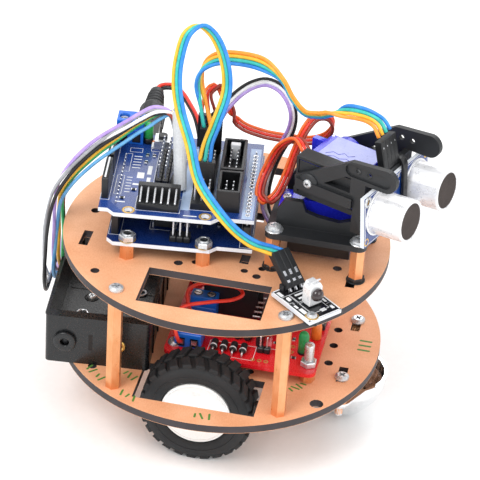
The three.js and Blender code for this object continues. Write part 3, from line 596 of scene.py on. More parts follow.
def add_servo_leads():
    points = through(ROUTES["pan_servo_lead"])
    piece = Piece("pan_servo_wires")
    ribbon(piece, points, [(0, (-0.9, 0.1, 0.3)), (0.2, (-0.5, 0.3, 0.7)), (0.36, UP), (0.55, RIGHT),
                           (1, RIGHT)],
           ["purple", "white", "black"], LEAD_PITCH, LEAD_R, head=(9, row_of(-BOARD_X, 3)),
           tail=(8, row_of(Vector((0, 1, 0)), 3, 1.3)))
    obj = piece.make("chassis", ["pan_servo_lead"])
    points = through(ROUTES["tilt_servo_lead"])
    piece = Piece("tilt_servo_wires")
    ribbon(piece, points, [(0, RIGHT), (0.3, RIGHT), (0.42, (0.7, -0.5, -0.4)), (0.55, DOWN), (0.8, DOWN),
                           (0.9, RIGHT), (1, BOARD_X)],
           ["scarlet", "red", "maroon"], LEAD_PITCH, LEAD_R, tail=(8, row_of(BOARD_X, 3)))
    obj = piece.make("pan_head", ["tilt_servo_lead"],
                     blend=("chassis", "pan_head", (2, 20, 80), (27, 5, 80)))


# Each loose wire of the left rear: the offset it is held at in the sleeve, then how far it stands off
# the route at shares of its length.
SLEEVE_SHARE = 0.09
STRANDS = {
    "purple": ((-0.7, 0.7, 0), (0.14, (0.5, 0, 3.2)), (0.25, (0, 0, 4.8)), (0.4, (2, 5, 4)), (0.5, (2, 9, 2)),
               (0.75, (0, 1, 2)), (1, (1, -1, 1.4))),
    "white": ((0.7, -0.7, 0), (0.14, (1, -1, 1.2)), (0.25, (0, 0, 2.6)), (0.4, (-1, 1, 3)), (0.5, (0, 5, 2)),
              (0.75, (0, -1, 0)), (1, (-1, 1, 0))),
    "black": ((-0.7, -0.7, 0), (0.14, (-1, -1, -1)), (0.25, (0, -1, 0.6)), (0.38, (1, -3, -1)),
              (0.48, (1, -2.4, 0)), (0.75, (1, 1, 0)), (1, (0, 0, -1.4))),
    "yellow": ((0.7, 0.7, 0), (0.14, (0, 1, -1.4)), (0.25, (0, 0, -1.4)), (0.4, (3, 9, -1)),
               (0.5, (3, 13, 1)), (0.75, (-1, 0, 1)), (1, (1.4, 0, 0))),
    "green": ((0, 1.4, 0), (0.14, (0, 1.6, -2.6)), (0.25, (0, 1, -3)), (0.4, (4, 12, -3)), (0.5, (4, 15, 1)),
              (0.75, (1, -1, -1)), (1, (-1.4, 0, 0))),
    "sky": ((1.4, 0, 0), (0.14, (1.4, 0, -4)), (0.25, (0, -1, -5)), (0.37, (2.5, 5.5, -5)), (0.48, (2, 7, 0)),
            (0.75, (0, 2, -1)), (1, (0, 1.4, 0))),
    "grey": ((-1.4, 0, 0), (0.14, (-1.6, 0, 1)), (0.25, (-1, -1, 1.4)), (0.37, (-0.6, 0.5, 1)),
             (0.48, (0, 2.4, 0)), (0.75, (0, 0, -2)), (1, (0, -1.4, 0))),
    "maroon": ((0, -1.4, 0), (0.14, (0.6, 1.6, -1)), (0.25, (0.4, 2.4, -1.6)), (0.4, (3.5, 15, -5)),
               (0.5, (3, 17, -2)), (0.75, (1, 2, 1)), (1, (1, 1, 1))),
}


def eased(marks, share):
    """The offset at a share of the length, turning smoothly between the marks."""
    for (a, low), (b, high) in zip(marks, marks[1:]):
        if share <= b:
            return Vector(low).lerp(Vector(high), smoothly((share - a) / (b - a)))
    return Vector(marks[-1][1])


def add_harness():
    points = through(ROUTES["harness"], 2)
    total = measure(points)
    for colour, (held, *marks) in STRANDS.items():
        marks = [(0, held), (SLEEVE_SHARE, held), *marks]
        run = 0.0
        line = []
        for k, point in enumerate(points):
            run += (point - points[k - 1]).length if k else 0
            line.append(point + eased(marks, run / total))
        piece = Piece("loose_wire_" + colour)
        piece.tube(line, LOOSE_R, WIRE[colour])
        obj = piece.make("chassis", ["harness"] if colour == "purple" else ())


def add_power_lead():
    points = through(ROUTES["power_lead"])
    piece = Piece("power_wires")
    ribbon(piece, points, [(0, UP), (0.3, UP), (1, RIGHT)], ["black", "red"], 1.5, 0.75)
    obj = piece.make("chassis", ["power_lead"])


# ---------------------------------------------------------------- the CAD nodes' own finishes
FINISHES = {
    LAMINATE: ("upper_plate", "lower_plate"),
    RUBBER: ("tyre",),
    WHITE: ("hub", "motor_bracket"),
    STEEL: ("wheel_shaft", "gear_motor", "usb_socket"),
    CHROME: ("caster_housing", "caster_ball"),
    COPPER: ("deck_standoff", "caster_standoff", "controller_standoff", "pan_standoff"),
    HOLDER_BLACK: ("battery_holder",),
    RED_MASK: ("driver_board",),
    SHADED_BLUE_MASK: ("controller_board",),
    BLUE_MASK: ("shield_board", "sonar_board"),
    BLACK_MASK: ("ir_board",),
    PLASTIC: ("power_socket", "servo_header", "port_header", "reset_button", "ir_plug", "sonar_plug"),
    NYLON: ("driver_heatsink", "pan_base", "pan_yoke", "tilt_bracket", "power_plug"),
    TERMINAL: ("shield_terminal",),
    TINNED: ("reset_button_body",),
    SMOKE: ("ir_receiver",),
    SERVO: ("pan_servo", "tilt_servo"),
    ALUMINIUM: ("sonar_transmitter", "sonar_receiver"),
}
SOFT_EDGED = ("hub", "battery_holder", "driver_heatsink", "shield_terminal", "pan_base", "pan_servo",
              "pan_yoke", "tilt_servo", "tilt_bracket", "sonar_transmitter", "sonar_receiver",
              "motor_bracket", "power_socket", "port_header", "ir_receiver", "gear_motor")
# Which way the thickness of each bare board runs.
BARE_EDGED = {"controller_board": WORLD.col[2], "shield_board": WORLD.col[2], "ir_board": WORLD.col[2],
              "sonar_board": SONAR.col[0]}


def bare_edges(node, thickness):
    """The cut edges of a board show its pale core."""
    node.data.materials.append(BOARD_EDGE)
    turned = node.matrix_world.to_3x3()
    for face in node.data.polygons:
        upright = abs((turned @ face.normal).normalized().dot(thickness.to_3d()))
        face.material_index = int(upright < 0.5)


def soften(node):
    weld = node.modifiers.new("weld", "WELD")
    weld.merge_threshold = 0.00001
    edge = node.modifiers.new("edge", "BEVEL")
    edge.width = 0.00025
    edge.segments = 2
    edge.limit_method = "ANGLE"
    edge.angle_limit = math.radians(35)


def finish_frame():
    """The longest key that a node's name starts with gives its finish. The leads have none of their own."""
    finish = {key: material for material, keys in FINISHES.items() for key in keys}
    for name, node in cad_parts.items():
        key = max([key for key in finish if name.startswith(key)], key=len, default=None)
        if key is None:
            continue
        node.data.materials.clear()
        node.data.materials.append(finish[key])
        if name in BARE_EDGED:
            bare_edges(node, BARE_EDGED[name])
        if key in SOFT_EDGED:
            soften(node)


def flat_faces(mesh, side):
    """The points and faces of a plate's top, or of its underside."""
    points, faces, seen = [], [], {}
    for face in mesh.polygons:
        if side * face.normal.z < 0.9:
            continue
        corners = []
        for index in face.vertices:
            spot = tuple(round(c, 7) for c in mesh.vertices[index].co)
            if spot not in seen:
                seen[spot] = len(points)
                points.append(spot)
            corners.append(seen[spot])
        faces.append(corners)
    return points, faces


def add_films():
    """The printed kraft film on each plate, with the plate's own outline and holes."""
    for name in ("upper_plate", "lower_plate"):
        for label, side in (("top", 1), ("underside", -1)):
            points, faces = flat_faces(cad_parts[name].data, side)
            mesh = bpy.data.meshes.new(f"{name}_film_{label}")
            mesh.from_pydata(points, [], faces)
            mesh.materials.append(FILM)
            obj = add_object(mesh.name, mesh)
            solid = obj.modifiers.new("thickness", "SOLIDIFY")
            solid.thickness = FILM_THICK * MM
            solid.offset = 1
            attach(obj, "chassis")


# ---------------------------------------------------------------- plugs on the shield
def add_dupont(piece, u, v, across_u, across_v, top, pins):
    """A black crimp housing with a window over each crimp, on the board at u, v."""
    piece.block(u, -v, across_u / 2, across_v / 2, (68.8, top), PLASTIC, 0.2)
    for k in range(pins):
        cu = u + (k - (pins - 1) / 2) * PIN
        for side in (-1, 1):
            reach = outwards(side, across_v / 2, across_v / 2 + 0.08)
            x, y = (cu - 0.55, cu + 0.55), [-v + r for r in reach]
            if pins == 1:
                x, y = [u + r for r in reach], (-v - 0.55, -v + 0.55)
            for low, high in ((8.5, 4.5), (3.6, 2.4)):
                piece.box(x, y, (top - low, top - high), NYLON, 0.03)


def add_shield_plugs():
    """Each plug's housings: the middle in u and v, the size in u and v, the top and the pins."""
    singles = [(u, v, 2.5, 2.5, 82.2, 1) for u in (31.1, 33.7) for v in (27.6, 30.2)]
    made = {}
    for name, housings in (("ir_plug_shield", [(33.4, 50.7, 7.7, 2.5, 80.4, 3)]),
                           ("sonar_plug_shield", singles),
                           ("pan_lead_plug", [(33.8, 25.2, 7.7, 2.3, 82.2, 3)]),
                           ("tilt_lead_plug", [(32.1, 21.6, 7.7, 2.5, 82.7, 3)])):
        piece = Piece(name, BOARDS)
        for housing in housings:
            add_dupont(piece, *housing)
        made[name] = piece.make("chassis")
    return made


# ---------------------------------------------------------------- deck fixings
def add_deck_screws():
    piece = Piece("deck_screws")
    for k, (x, y) in enumerate(((31, 46.5), (31, -46.5), (-31, 46.5), (-31, -46.5))):
        piece.screw(x, y, DECK, 2.8, spin=25 + 31 * k)
        piece.screw(0, 0, 0, 2.8, at=move(x, y, -FILM_THICK) @ turn("X", 180), spin=10 + 47 * k)
    piece.make("chassis")


def add_caster_fixings():
    piece = Piece("caster_fixings")
    for side in (-1, 1):
        x, y = 50, 19 * side
        piece.screw(x, y, LOWER_DECK, 2.8, spin=40 * side)
        piece.hexagon(x, y, -9.4, -7.02, 5.5, STEEL, start=0.3)
        piece.lathe([(1.3, -13.9), (1.48, -13.5), (1.48, -9.2)], STEEL, 14, at=move(x, y))
    piece.make("chassis")


def add_bracket_fixings():
    piece = Piece("bracket_fixings")
    for side in (-1, 1):
        for end in (-1, 1):
            x, y = 11.2 * end, 17.5 * side
            piece.screw(x, y, LOWER_DECK, 1.9, spin=30 * end)
            piece.hexagon(x, y, -4.2, -2.52, 4, STEEL)
            piece.rod(x, y, -5.2, -4, 0.95, STEEL, 12)
    piece.make("chassis")


def add_film_print():
    """Plain green strokes on the lower film, standing in for its printing. They spell nothing."""
    piece = Piece("film_print")
    level = (LOWER_DECK, LOWER_DECK + INK)
    for radius, angles in ((56.6, (-141, -138, -135.4, -132, -129.6, -118.4, -115.6, -112.6)),
                           (56, (-88, -85.6, -82.6)), (47, (-127, -124.4, -121.4)),
                           (45.4, (-43.6, -41, -38.6, -36))):
        for k, angle in enumerate(angles):
            length = 1.9 if k % 3 else 1.3
            at = turn("Z", angle) @ move(radius, 0) @ turn("Z", 24 * (k % 2))
            piece.box((-length, length), (-0.4, 0.4), level, PRINT, 0.01, at, corner=0.38)
    for y in (0.5, 3.5, 6.5):
        piece.box((52.6, 57.6), (y - 0.5, y + 0.5), level, PRINT, 0.01, corner=0.48)
    piece.make("chassis")


# ---------------------------------------------------------------- parts that several boards carry
def add_resistor(piece, x, y, z, turned, at=WORLD):
    """A small chip part with tinned ends."""
    spot = at @ move(x, y, z) @ turn("Z", turned)
    piece.box((-0.6, 0.6), (-0.56, 0.56), (0, 0.55), NYLON, 0.05, spot)
    for side in (-1, 1):
        piece.box(outwards(side, 0.6, 1), (-0.56, 0.56), (0, 0.5), TINNED, 0.04, spot)


def add_resistors(piece, z, spots):
    for x, y, turned in spots:
        add_resistor(piece, x, y, z, turned)


def add_chip(piece, x, y, z, size, legs, turned=0.0, tall=1.5, at=WORLD):
    """A black chip with legs along its two long sides and a dot at one end."""
    spot = at @ move(x, y, z) @ turn("Z", turned)
    w, l = size[0] / 2, size[1] / 2
    piece.box((-w, w), (-l, l), (0.3, tall), PLASTIC, 0.12, spot)
    piece.rod(-w * 0.5, l * 0.72, tall, tall + 0.02, 0.35, NYLON, 10, 0.005, spot)
    for side in (-1, 1):
        for k in range(legs):
            y0 = (k - (legs - 1) / 2) * (2 * l - 0.8) / max(legs - 1, 1)
            leg = (y0 - 0.2, y0 + 0.2)
            piece.box(outwards(side, w - 0.1, w + 0.8), leg, (0, 0.28), TINNED, 0.05, spot)
            piece.box(outwards(side, w - 0.1, w + 0.25), leg, (0.2, tall * 0.6), TINNED, 0.05, spot)


def add_pin_row(piece, x, y, z, count, top=8.5, along="x"):
    """A row of square pins through a black strip notched between the pins."""
    for k in range(count):
        d = (k - (count - 1) / 2) * PIN
        cx, cy = (x + d, y) if along == "x" else (x, y + d)
        piece.block(cx, cy, 1.25, 1.25, (z, z + 2.5), PLASTIC, 0.35)
        piece.pin(cx, cy, z + 2.25, z + top, 0.12)


def above(z, *profile):
    """A lathe profile given as heights above z."""
    return [(r, z + h) for r, h in profile]


# ---------------------------------------------------------------- motor driver board
def add_terminal(piece, x, y, z):
    """A two-way screw terminal: stepped body, slotted screws on top and wire mouths in front. The black ring
    round each screw, the black bar in its slot and the black face of each mouth are painted shade of those
    recesses.
    """
    tall = 10
    piece.block(x, y, 5.08, 4, (z, z + tall * 0.62), TERMINAL, 0.25)
    piece.block(x, y, 5.08, 2.9, (z + tall * 0.55, z + tall), TERMINAL, 0.4)
    front = y - 4
    for cx in (x - 2.54, x + 2.54):
        # Painted shade: a black ring round each screw's well, and a black bar in its slot.
        piece.rod(cx, y, z + tall, z + tall + 0.12, 1.75, NYLON, 18, 0.05)
        piece.rod(cx, y, z + tall + 0.1, z + tall + 0.34, 1.45, STEEL, 18, 0.1)
        piece.block(cx, y, 1.3, 0.2, (z + tall + 0.3, z + tall + 0.37), NYLON, 0.02)
        # Painted shade: a black face for the wire mouth, round its tinned clamp.
        piece.box((cx - 1.5, cx + 1.5), (front - 0.06, front + 0.1), (z + 1.1, z + 4.4), NYLON, 0.02,
                  corner=0.5)
        piece.box((cx - 1.05, cx + 1.05), (front - 0.12, front), (z + 1.5, z + 3.9), TINNED, 0.02, corner=0.4)


def add_diodes(piece, y, z, legs):
    """Four diodes side by side that lie along y. The front ones show a pale band and their legs."""
    axis = z + 1.6
    for k in range(4):
        x = 1.6 + 3.7 * k
        spot = move(x, y, axis) @ turn("X", 90)
        barrel = [(0.01, -2.2), (1.2, -2.2), (1.32, -2), (1.32, 2), (1.2, 2.2), (0.01, 2.2)]
        piece.lathe(barrel, NYLON, 16, spot)
        if not legs:
            continue
        piece.lathe([(1.34, 1.2), (1.36, 1.25), (1.36, 1.75), (1.34, 1.8)], SILK, 16, spot)
        for end in (-1, 1):
            piece.tube([(x, y + end * 2.2, axis), (x, y + end * 3.2, axis), (x, y + end * 3.6, z + 1.2),
                        (x, y + end * 3.6, z)], 0.38, TINNED)


def add_driver_capacitors(piece, z):
    small = move(34.3, -16.6)
    dipped = above(z, (1.5, 0), (2, 0.2), (2, 7.4), (1.7, 8.6), (1, 9.4), (0.01, 9.6))
    piece.lathe(dipped, GREEN_CAP, 20, small)
    piece.lathe(above(z, (2.06, 0), (2.1, 0.1), (2.1, 0.8), (2.06, 0.9)), PLASTIC, 20, small)
    piece.lathe(above(z, (1.5, 0), (2, 0.2), (2, 5.4), (1.7, 6.6), (0.9, 7.2), (0.01, 7.3)), ORANGE_PART, 20,
                move(37.4, -6))
    for y, r, h in ((8, 5, 12), (-3.6, 4, 10)):
        at = move(24.5, y)
        sleeve = above(z, (r - 0.5, 0), (r, 0.4), (r, h * 0.12), (r - 0.25, h * 0.17), (r, h * 0.22),
                       (r, h - 0.5), (r - 0.5, h), (r - 1, h - 0.15), (0.01, h - 0.15))
        piece.lathe(sleeve, NYLON, 28, at)
        lid = above(z, (0.01, h - 0.12), (r - 1.1, h - 0.12), (r - 1.1, h - 0.08), (0.01, h - 0.05))
        piece.lathe(lid, ALUMINIUM, 24, at)


def add_driver_parts():
    z = DRIVER_TOP
    piece = Piece("driver_parts")
    for x, y in ((-8, -21.6), (-6.5, -3.2), (28, 19.4)):
        add_terminal(piece, x, y, z)
    add_diodes(piece, -22.2, z, True)
    add_diodes(piece, -13.5, z, False)
    add_driver_capacitors(piece, z)
    add_pin_row(piece, 38.6, 6.6, z, 6, along="y")
    piece.box((16.4, 19), (-17.4, 4.6), (z, z + 9), PLASTIC, 0.2)
    for k in range(7):
        y = -15.6 + 3.1 * k
        piece.box((13.2, 16.6), (y - PIN_HALF, y + PIN_HALF), (z + 7.4, z + 8.04), TINNED, 0.12)
    add_pin_row(piece, 20, -20.4, z, 2, top=7)
    piece.lathe(above(z, (1.2, 0), (1.5, 0.1), (1.5, 3.4), (1.1, 4.4), (0.01, 4.8)), GLASS_RED, 16,
                move(27.4, -21.4))
    add_chip(piece, 3.5, 0.4, z, (20, 2.4), 0, tall=16)
    add_resistors(piece, z, ((17.5, -13, 0), (20.5, -9, 90), (23.6, -13.6, 0), (29.6, -9.6, 90),
                             (31.5, -21, 0), (14, -7.6, 90), (31, 2, 0), (31, 6, 0), (-3, 20.5, 0),
                             (3, 21, 90), (9, 20.6, 0)))
    for x, y, wide in ((8.2, -18, 17.4), (8.2, -26.8, 17.4), (23, -17.6, 9), (24.5, 14.8, 12)):
        piece.bar(x, y, wide, 0.22, z)
    for x in (-0.5, 17):
        piece.box((x - 0.11, x + 0.11), (-26.8, -18), (z, z + INK), SILK, 0.01)
    for x, y in ((17, -26), (19.5, -26), (22, -26), (30, -14), (30, -17.5), (14.6, -10.6), (-13, -12),
                 (-13, -8)):
        piece.pad(0.7, 0.25, 0.3, move(x, y, z + 0.02), 14, 6)
    piece.make("chassis")


def add_driver_posts():
    """The board stands on four posts. Three have a screw, and the one at stud a threaded stud and its nut."""
    stud = (37.6, -23.6)
    piece = Piece("driver_posts")
    for x in (-13.1, 37.6):
        for y in (-23.6, 18):
            piece.hexagon(x, y, LOWER_DECK, 8.38, 5, COPPER, start=0.2)
            if (x, y) != stud:
                piece.screw(x, y, DRIVER_TOP, 2.7, spin=x + y)
    piece.hexagon(*stud, DRIVER_TOP, DRIVER_TOP + 2.3, 5.5, STEEL, start=0.5)
    thread = [(1.9 if k % 2 else 1.7, DRIVER_TOP + 2.2 + 0.45 * k) for k in range(17)]
    piece.lathe([*thread, (0.01, DRIVER_TOP + 9.6)], STEEL, 16, at=move(*stud))
    piece.make("chassis")


def add_loose_lead(name, colour, route, radius):
    points = through(route)
    piece = Piece(name)
    piece.tube(points, radius, WIRE[colour])
    obj = piece.make("chassis")


def add_driver_leads():
    """The jumper lead on the driver board, and two leads from each motor up through the lower plate."""
    jumper = [(-10.4, -25.8, 13), (-10.8, -28.6, 15), (-12.4, -28, 20), (-12.2, -20.5, 23.8),
              (-2.4, -15.6, 25.2), (5.6, -12, 25.4), (8.6, -7, 25), (6, -3, 24.8), (-2, -2.6, 24.6),
              (-8, -3, 24.2), (-12.6, -5, 21.5), (-11.4, -8.6, 16.6), (-9.2, -7.5, 12.8)]
    add_loose_lead("jumper_lead", "red", jumper, 0.75)
    for side, word in ((-1, "right"), (1, "left")):
        for k, colour in enumerate(("red", "blue")):
            x = 2 if k else -2
            hole = 17.6 - k * 1.2
            under = [(x, 1.3, AXLE_Z), (x + 1, 0.4, -8), (x + 5, 1.5, -10.5), (12 + k, 7, -10),
                     (16.4, 14, -7.6 - k), (17.5 - k, 18, -4), (hole, 19, 0), (hole, 19, 4), (hole, 19, 8.3)]
            add_loose_lead(f"motor_lead_{colour}_{word}", colour,
                           [(px, side * py, pz) for px, py, pz in under], 0.5)


# ---------------------------------------------------------------- controller and shield
BOARD_HOLES = ((7.62, 66.04), (35.56, 66.04))


def span_v(v0, v1):
    """Board v runs backwards along y."""
    return (-v1, -v0)


def add_female_strips(piece, z):
    """The controller's two socket strips, and the shield's pins that stand in them."""
    for u0, v0, count in ((1.3, 27.4, 14), (49.5, 18.3, 18)):
        piece.box((u0, u0 + 2.5), span_v(v0, v0 + count * PIN + 0.6), (z, z + 8.5), PLASTIC, 0.15)
        for k in range(count):
            y = -(v0 + 1.57 + k * PIN)
            piece.block(u0 + 1.25, y, 0.5, 0.5, (z + 8.4, z + 8.53), NYLON, 0.03)
            piece.pin(u0 + 1.25, y, z + 7.5, SHIELD_TOP + 0.9, 0.1)


def add_long_chip(piece, z):
    """The controller's 28-pin chip, with the notch at its end."""
    piece.box((16.4, 24), span_v(22, 57.4), (z + 0.7, z + 4.2), PLASTIC, 0.3)
    for k in range(14):
        for u in (16, 24.4):
            piece.block(u, -(23.2 + k * PIN), 0.35, 0.7, (z, z + 2.2), TINNED, 0.08)
    piece.box((21.2, 23), (-22.3, -21.6), (z + 3.6, z + 4.25), NYLON, 0.1)


def add_can_capacitors(piece, z):
    for v in (19.4, 27.4):
        at = move(6.4, -v)
        piece.lathe(above(z, (2.9, 0), (3.2, 0.3), (3.2, 0.9), (3, 1.1), (3.2, 1.4), (3.2, 5.2), (2.7, 5.6),
                          (0.01, 5.5)),
                    ALUMINIUM, 24, at)
        piece.lathe(above(z, (3.24, 1.8), (3.26, 1.9), (3.26, 5), (3.24, 5.1)), NYLON, 24, at)


def add_crystal(piece, x0, x1, y0, y1, levels, at=WORLD):
    """A long metal can with round ends. levels gives the corner's radius at each height."""
    piece.loft(raised((rounded(x0, x1, y0, y1, r, 5), z) for r, z in levels), CRYSTAL, at)


def add_controller_parts():
    z = BOARD_TOP
    piece = Piece("controller_parts", BOARDS)
    add_female_strips(piece, z)
    add_long_chip(piece, z)
    add_chip(piece, 36.6, -17, z, (7, 7), 8)
    add_can_capacitors(piece, z)
    add_crystal(piece, 27.4, 38.6, -26.4, -22, ((2.1, z + 0.2), (2.19, z + 0.5), (2.19, z + 3.2),
                                                (2.1, z + 3.5)))
    # Its own reset button, and the regulator with its tab.
    piece.box((47.4, 51.4), (-9.6, -5.6), (z, z + 2), TINNED, 0.2)
    piece.rod(49.4, -7.6, z + 1.9, z + 3, 1, NYLON)
    piece.box((12.6, 19), (-19.4, -14), (z, z + 1.8), PLASTIC, 0.3)
    piece.box((12.8, 18.8), (-22, -19.4), (z, z + 0.5), TINNED, 0.1)
    for v in (64.6, 64.6 - PIN):
        add_pin_row(piece, 26.6, -v, z, 3)
    add_resistors(piece, z, (
        (28, -31, 0), (28, -34, 0), (30.5, -37, 90), (34, -31, 0), (34, -34.4, 0), (10, -36, 90),
                             (12.6, -36, 90),
        (31, -44, 0), (31, -47, 0), (36, -44, 0), (40, -52, 90), (42.6, -52, 90), (45, -24, 90), (44, -30, 0),
        (9.6, -46, 0), (9.6, -50, 0), (28.4, -54, 0), (33, -54, 0)))
    for u, v, w, l in ((2.55, 45.2, 4.4, 37.2), (50.75, 41.4, 4.4, 47.6), (20.2, 39.7, 10.6, 37),
                       (32, 20.4, 0.3, 9)):
        piece.outline(u - w / 2, u + w / 2, -v - l / 2, -v + l / 2, z, 0.18)
    piece.make("chassis")


def add_board_fixings():
    """The controller's nuts, and the gold rings round the holes of both boards. The black disc in each nut's
    bore is painted shade.
    """
    z = BOARD_TOP
    piece = Piece("board_fixings", BOARDS)
    for u, v in ((2.54, 14), *BOARD_HOLES):
        at = move(u, -v)
        piece.hexagon(u, -v, z, z + 2.3, 5.5, STEEL, start=u)
        piece.lathe(above(z, (1.5, 2.2), (1.95, 2.28), (1.95, 2.75), (1.5, 2.8)), STEEL, 20, at, closed=True)
        # Painted shade: a black disc in the nut's bore.
        piece.lathe(above(z, (0.01, 2.3), (1.5, 2.3), (1.5, 2.5), (0.01, 2.55)), NYLON, 16, at)
    for u, v in BOARD_HOLES:
        for height in (SHIELD_TOP + 0.01, SHIELD_TOP - 1.61):
            piece.pad(2, 0.42, 0.12, move(u, -v, height), 28)
        piece.pad(2.9, 0.3, 0.12, move(u, -v, z + 0.01), 28)
    piece.make("chassis")


def add_box_header(piece, z, v0, v1, rows):
    """A shrouded header: walls round a sunken floor, two columns of pins, and a key notch in one wall."""
    u0, u1, top, wall = 38.9, 47.5, z + 9, 1.1
    outer = rounded(u0, u1, -v1, -v0, 0.3)
    inner = rounded(u0 + wall, u1 - wall, -v1 + wall, -v0 - wall, 0.2)
    piece.loft(raised(((outer, z), (outer, top - 0.2), (shrink(outer, 0.2), top), (shrink(inner, -0.15), top),
                       (inner, top - 0.2), (inner, z + 2.2))), PLASTIC)
    middle = (v0 + v1) / 2
    notch = (-middle - 2.1, -middle + 2.1)
    piece.box((u0 - 0.05, u0 + wall + 0.04), notch, (top - 6, top + 0.03), NYLON, 0.02)
    for k in range(rows):
        v = middle + (k - (rows - 1) / 2) * PIN
        for u in ((u0 + u1) / 2 - PIN / 2, (u0 + u1) / 2 + PIN / 2):
            piece.pin(u, -v, z + 2, top - 1.6)


def add_shield_pins(piece, z):
    """The pins of the CAD's headers, and the double row between them. No pin stands where a plug sits."""
    for k in range(4):
        v = 42 + 1.7 * k
        piece.tube([(20.6, -v, z + 1), (21.2, -v - 0.3, z + 4.5), (22.2, -v - 1.2, z + 7),
                    (23, -v - 2.4, z + 8.4)],
                   0.34, TINNED)
    for k in range(16):
        v = 21.1 + k * PIN
        if min(abs(v - plugged) for plugged in (21.6, 25.2, 27.6, 30.2, 50.7)) < 1.9:
            continue
        for u in (30.86, 33.4, 35.94):
            piece.pin(u, -v, z + 2.3, z + 8.6)
    for k in range(6):
        u = 11.55 + k * PIN
        bent = [(u, -59.2, z + 6.35), (u, -59.9, z + 6), (u, -64.2, z + 3.4), (u, -64.9, z + 3)]
        piece.tube(bent, 0.4, TINNED)
    for k in range(9):
        v = 26.4 + k * PIN
        for u in (16.4, 18.94):
            piece.block(u, -v, 1.25, 1.25, (z, z + 2.5), PLASTIC, 0.35)
            piece.pin(u, -v, z + 2.3, z + 8.4)


def add_shield_sockets(piece, z):
    """Two socket strips along the left edge, each with a pale bar along its top."""
    for v0, count in ((22.5, 8), (44.6, 6)):
        for k in range(count):
            v = v0 + PIN / 2 + k * PIN
            piece.box((-3.1, -0.6), (-v - 1.25, -v + 1.25), (z, z + 8.5), PLASTIC, 0.2)
            piece.block(-1.85, -v, 0.5, 0.5, (z + 8.4, z + 8.53), NYLON, 0.03)
        piece.box((-2.2, -1.55), span_v(v0 + 0.8, v0 + count * PIN - 0.8), (z + 8.5, z + 9.1), SILK, 0.15)


def add_shield_strips(piece, z):
    """Pale strips along the headers, and the two rows of solder points on the right one, each with a black
    disc in its hole: painted shade.
    """
    for u, v in (((48.6, 52.6), (16.4, 65.4)), ((37.5, 38.6), (20, 63)), ((26, 29.2), (20, 63))):
        piece.box(u, span_v(*v), (z, z + 0.04), PALE_BLUE, 0.01)
    pitch = PIN * 0.95
    for v0, count in ((21.6, 10), (48.2, 7)):
        piece.outline(49.4, 52, -(v0 - 1.3), -(v0 + (count - 1) * pitch + 1.3), z, 0.18)
        for k in range(count):
            v = v0 + k * pitch
            piece.pad(0.78, 0.3, 0.4, move(50.7, -v, z + 0.05), 16, 6, TINNED)
            # Painted shade: a black disc in the solder point's hole.
            piece.lathe(above(z, (0.01, 0.04), (0.7, 0.05), (0.55, 0.12), (0.01, 0.14)), NYLON, 12,
                        move(50.7, -v))


def add_shield_corner(piece, z):
    """The green part, the reset button's frame and feet, and the terminal's screws and mouths. The black bar
    in each screw's slot and the black face of each mouth are painted shade of those recesses.
    """
    at = move(9.6, -18.2)
    piece.lathe(above(z, (1.5, 0), (1.9, 0.2), (1.9, 2), (1.6, 2.3), (0.01, 2.3)), PLASTIC, 18, at)
    drop = above(z, (1.5, 2.2), (1.75, 2.4), (1.75, 7.4), (1.3, 8.2), (0.01, 8.4))
    piece.lathe(drop, TERMINAL_GREEN, 18, at)
    piece.box((11.2, 12.1), (-23, -18.4), (z, z + 1.2), SILK, 0.15)
    piece.box((11.2, 12.1), (-19.8, -18.3), (z + 0.1, z + 1.25), ORANGE_PART, 0.15)
    piece.box((12.9, 17.7), (-22.4, -17.6), (z + 3.58, z + 3.66), STEEL, 0.03)
    for u, v in ((12, 17.6), (18.6, 17.6), (12, 22.4), (18.6, 22.4)):
        piece.block(u, -v, 0.6, 0.35, (z, z + 0.5), TINNED, 0.08)
    for u in (0.2, 5.2):
        piece.rod(u, -16.8, z + 7.55, z + 9.1, 1.7, STEEL, 18, 0.2)
        # Painted shade: a black bar in the screw's slot, and a black face for the wire mouth below it.
        piece.block(u, -16.8, 1.45, 0.25, (z + 9, z + 9.14), NYLON, 0.02)
        piece.box((u - 1.5, u + 1.5), (-20.72, -20.5), (z + 1.2, z + 4.6), NYLON, 0.02, corner=0.5)
    piece.box((-2.3, 7.7), (-20.75, -20.55), (z + 5.8, z + 6.2), TERMINAL, 0.05)


def add_shield_print(piece, z):
    """White frames and bars, standing in for the shield's printing. They spell nothing."""
    for u0, u1, v0, v1 in ((2.2, 4.8, 27.4, 40), (1, 3.6, 43, 56), (-3.5, -0.2, 21.8, 43.6),
                           (-3.5, -0.2, 44, 60.4), (9.8, 26.1, 56.2, 65.6), (29.3, 37.5, 18.6, 62.4),
                           (11.4, 19.6, 16, 24.4), (14.6, 20.8, 24.8, 49.6), (3.6, 8.2, 23.2, 26)):
        piece.outline(u0, u1, -v0, -v1, z, 0.18)
    for v in range(29, 38, 2):
        piece.bar(7.1, -v, 3, 0.5, z)
    for v in range(44, 55, 2):
        piece.bar(5.6, -v, 2, 0.44, z)
    for u, v, wide, long in ((9.4, 42, 2.6, 4), (12.6, 45.6, 1.4, 5), (8.6, 48.4, 3, 1.2), (12.4, 38, 1.6, 6),
                             (27.6, 36, 0.8, 12), (27.6, 52, 0.8, 10), (4.2, 61, 3, 0.6), (30, 66.6, 5, 0.5)):
        piece.bar(u, -v, wide, long, z)


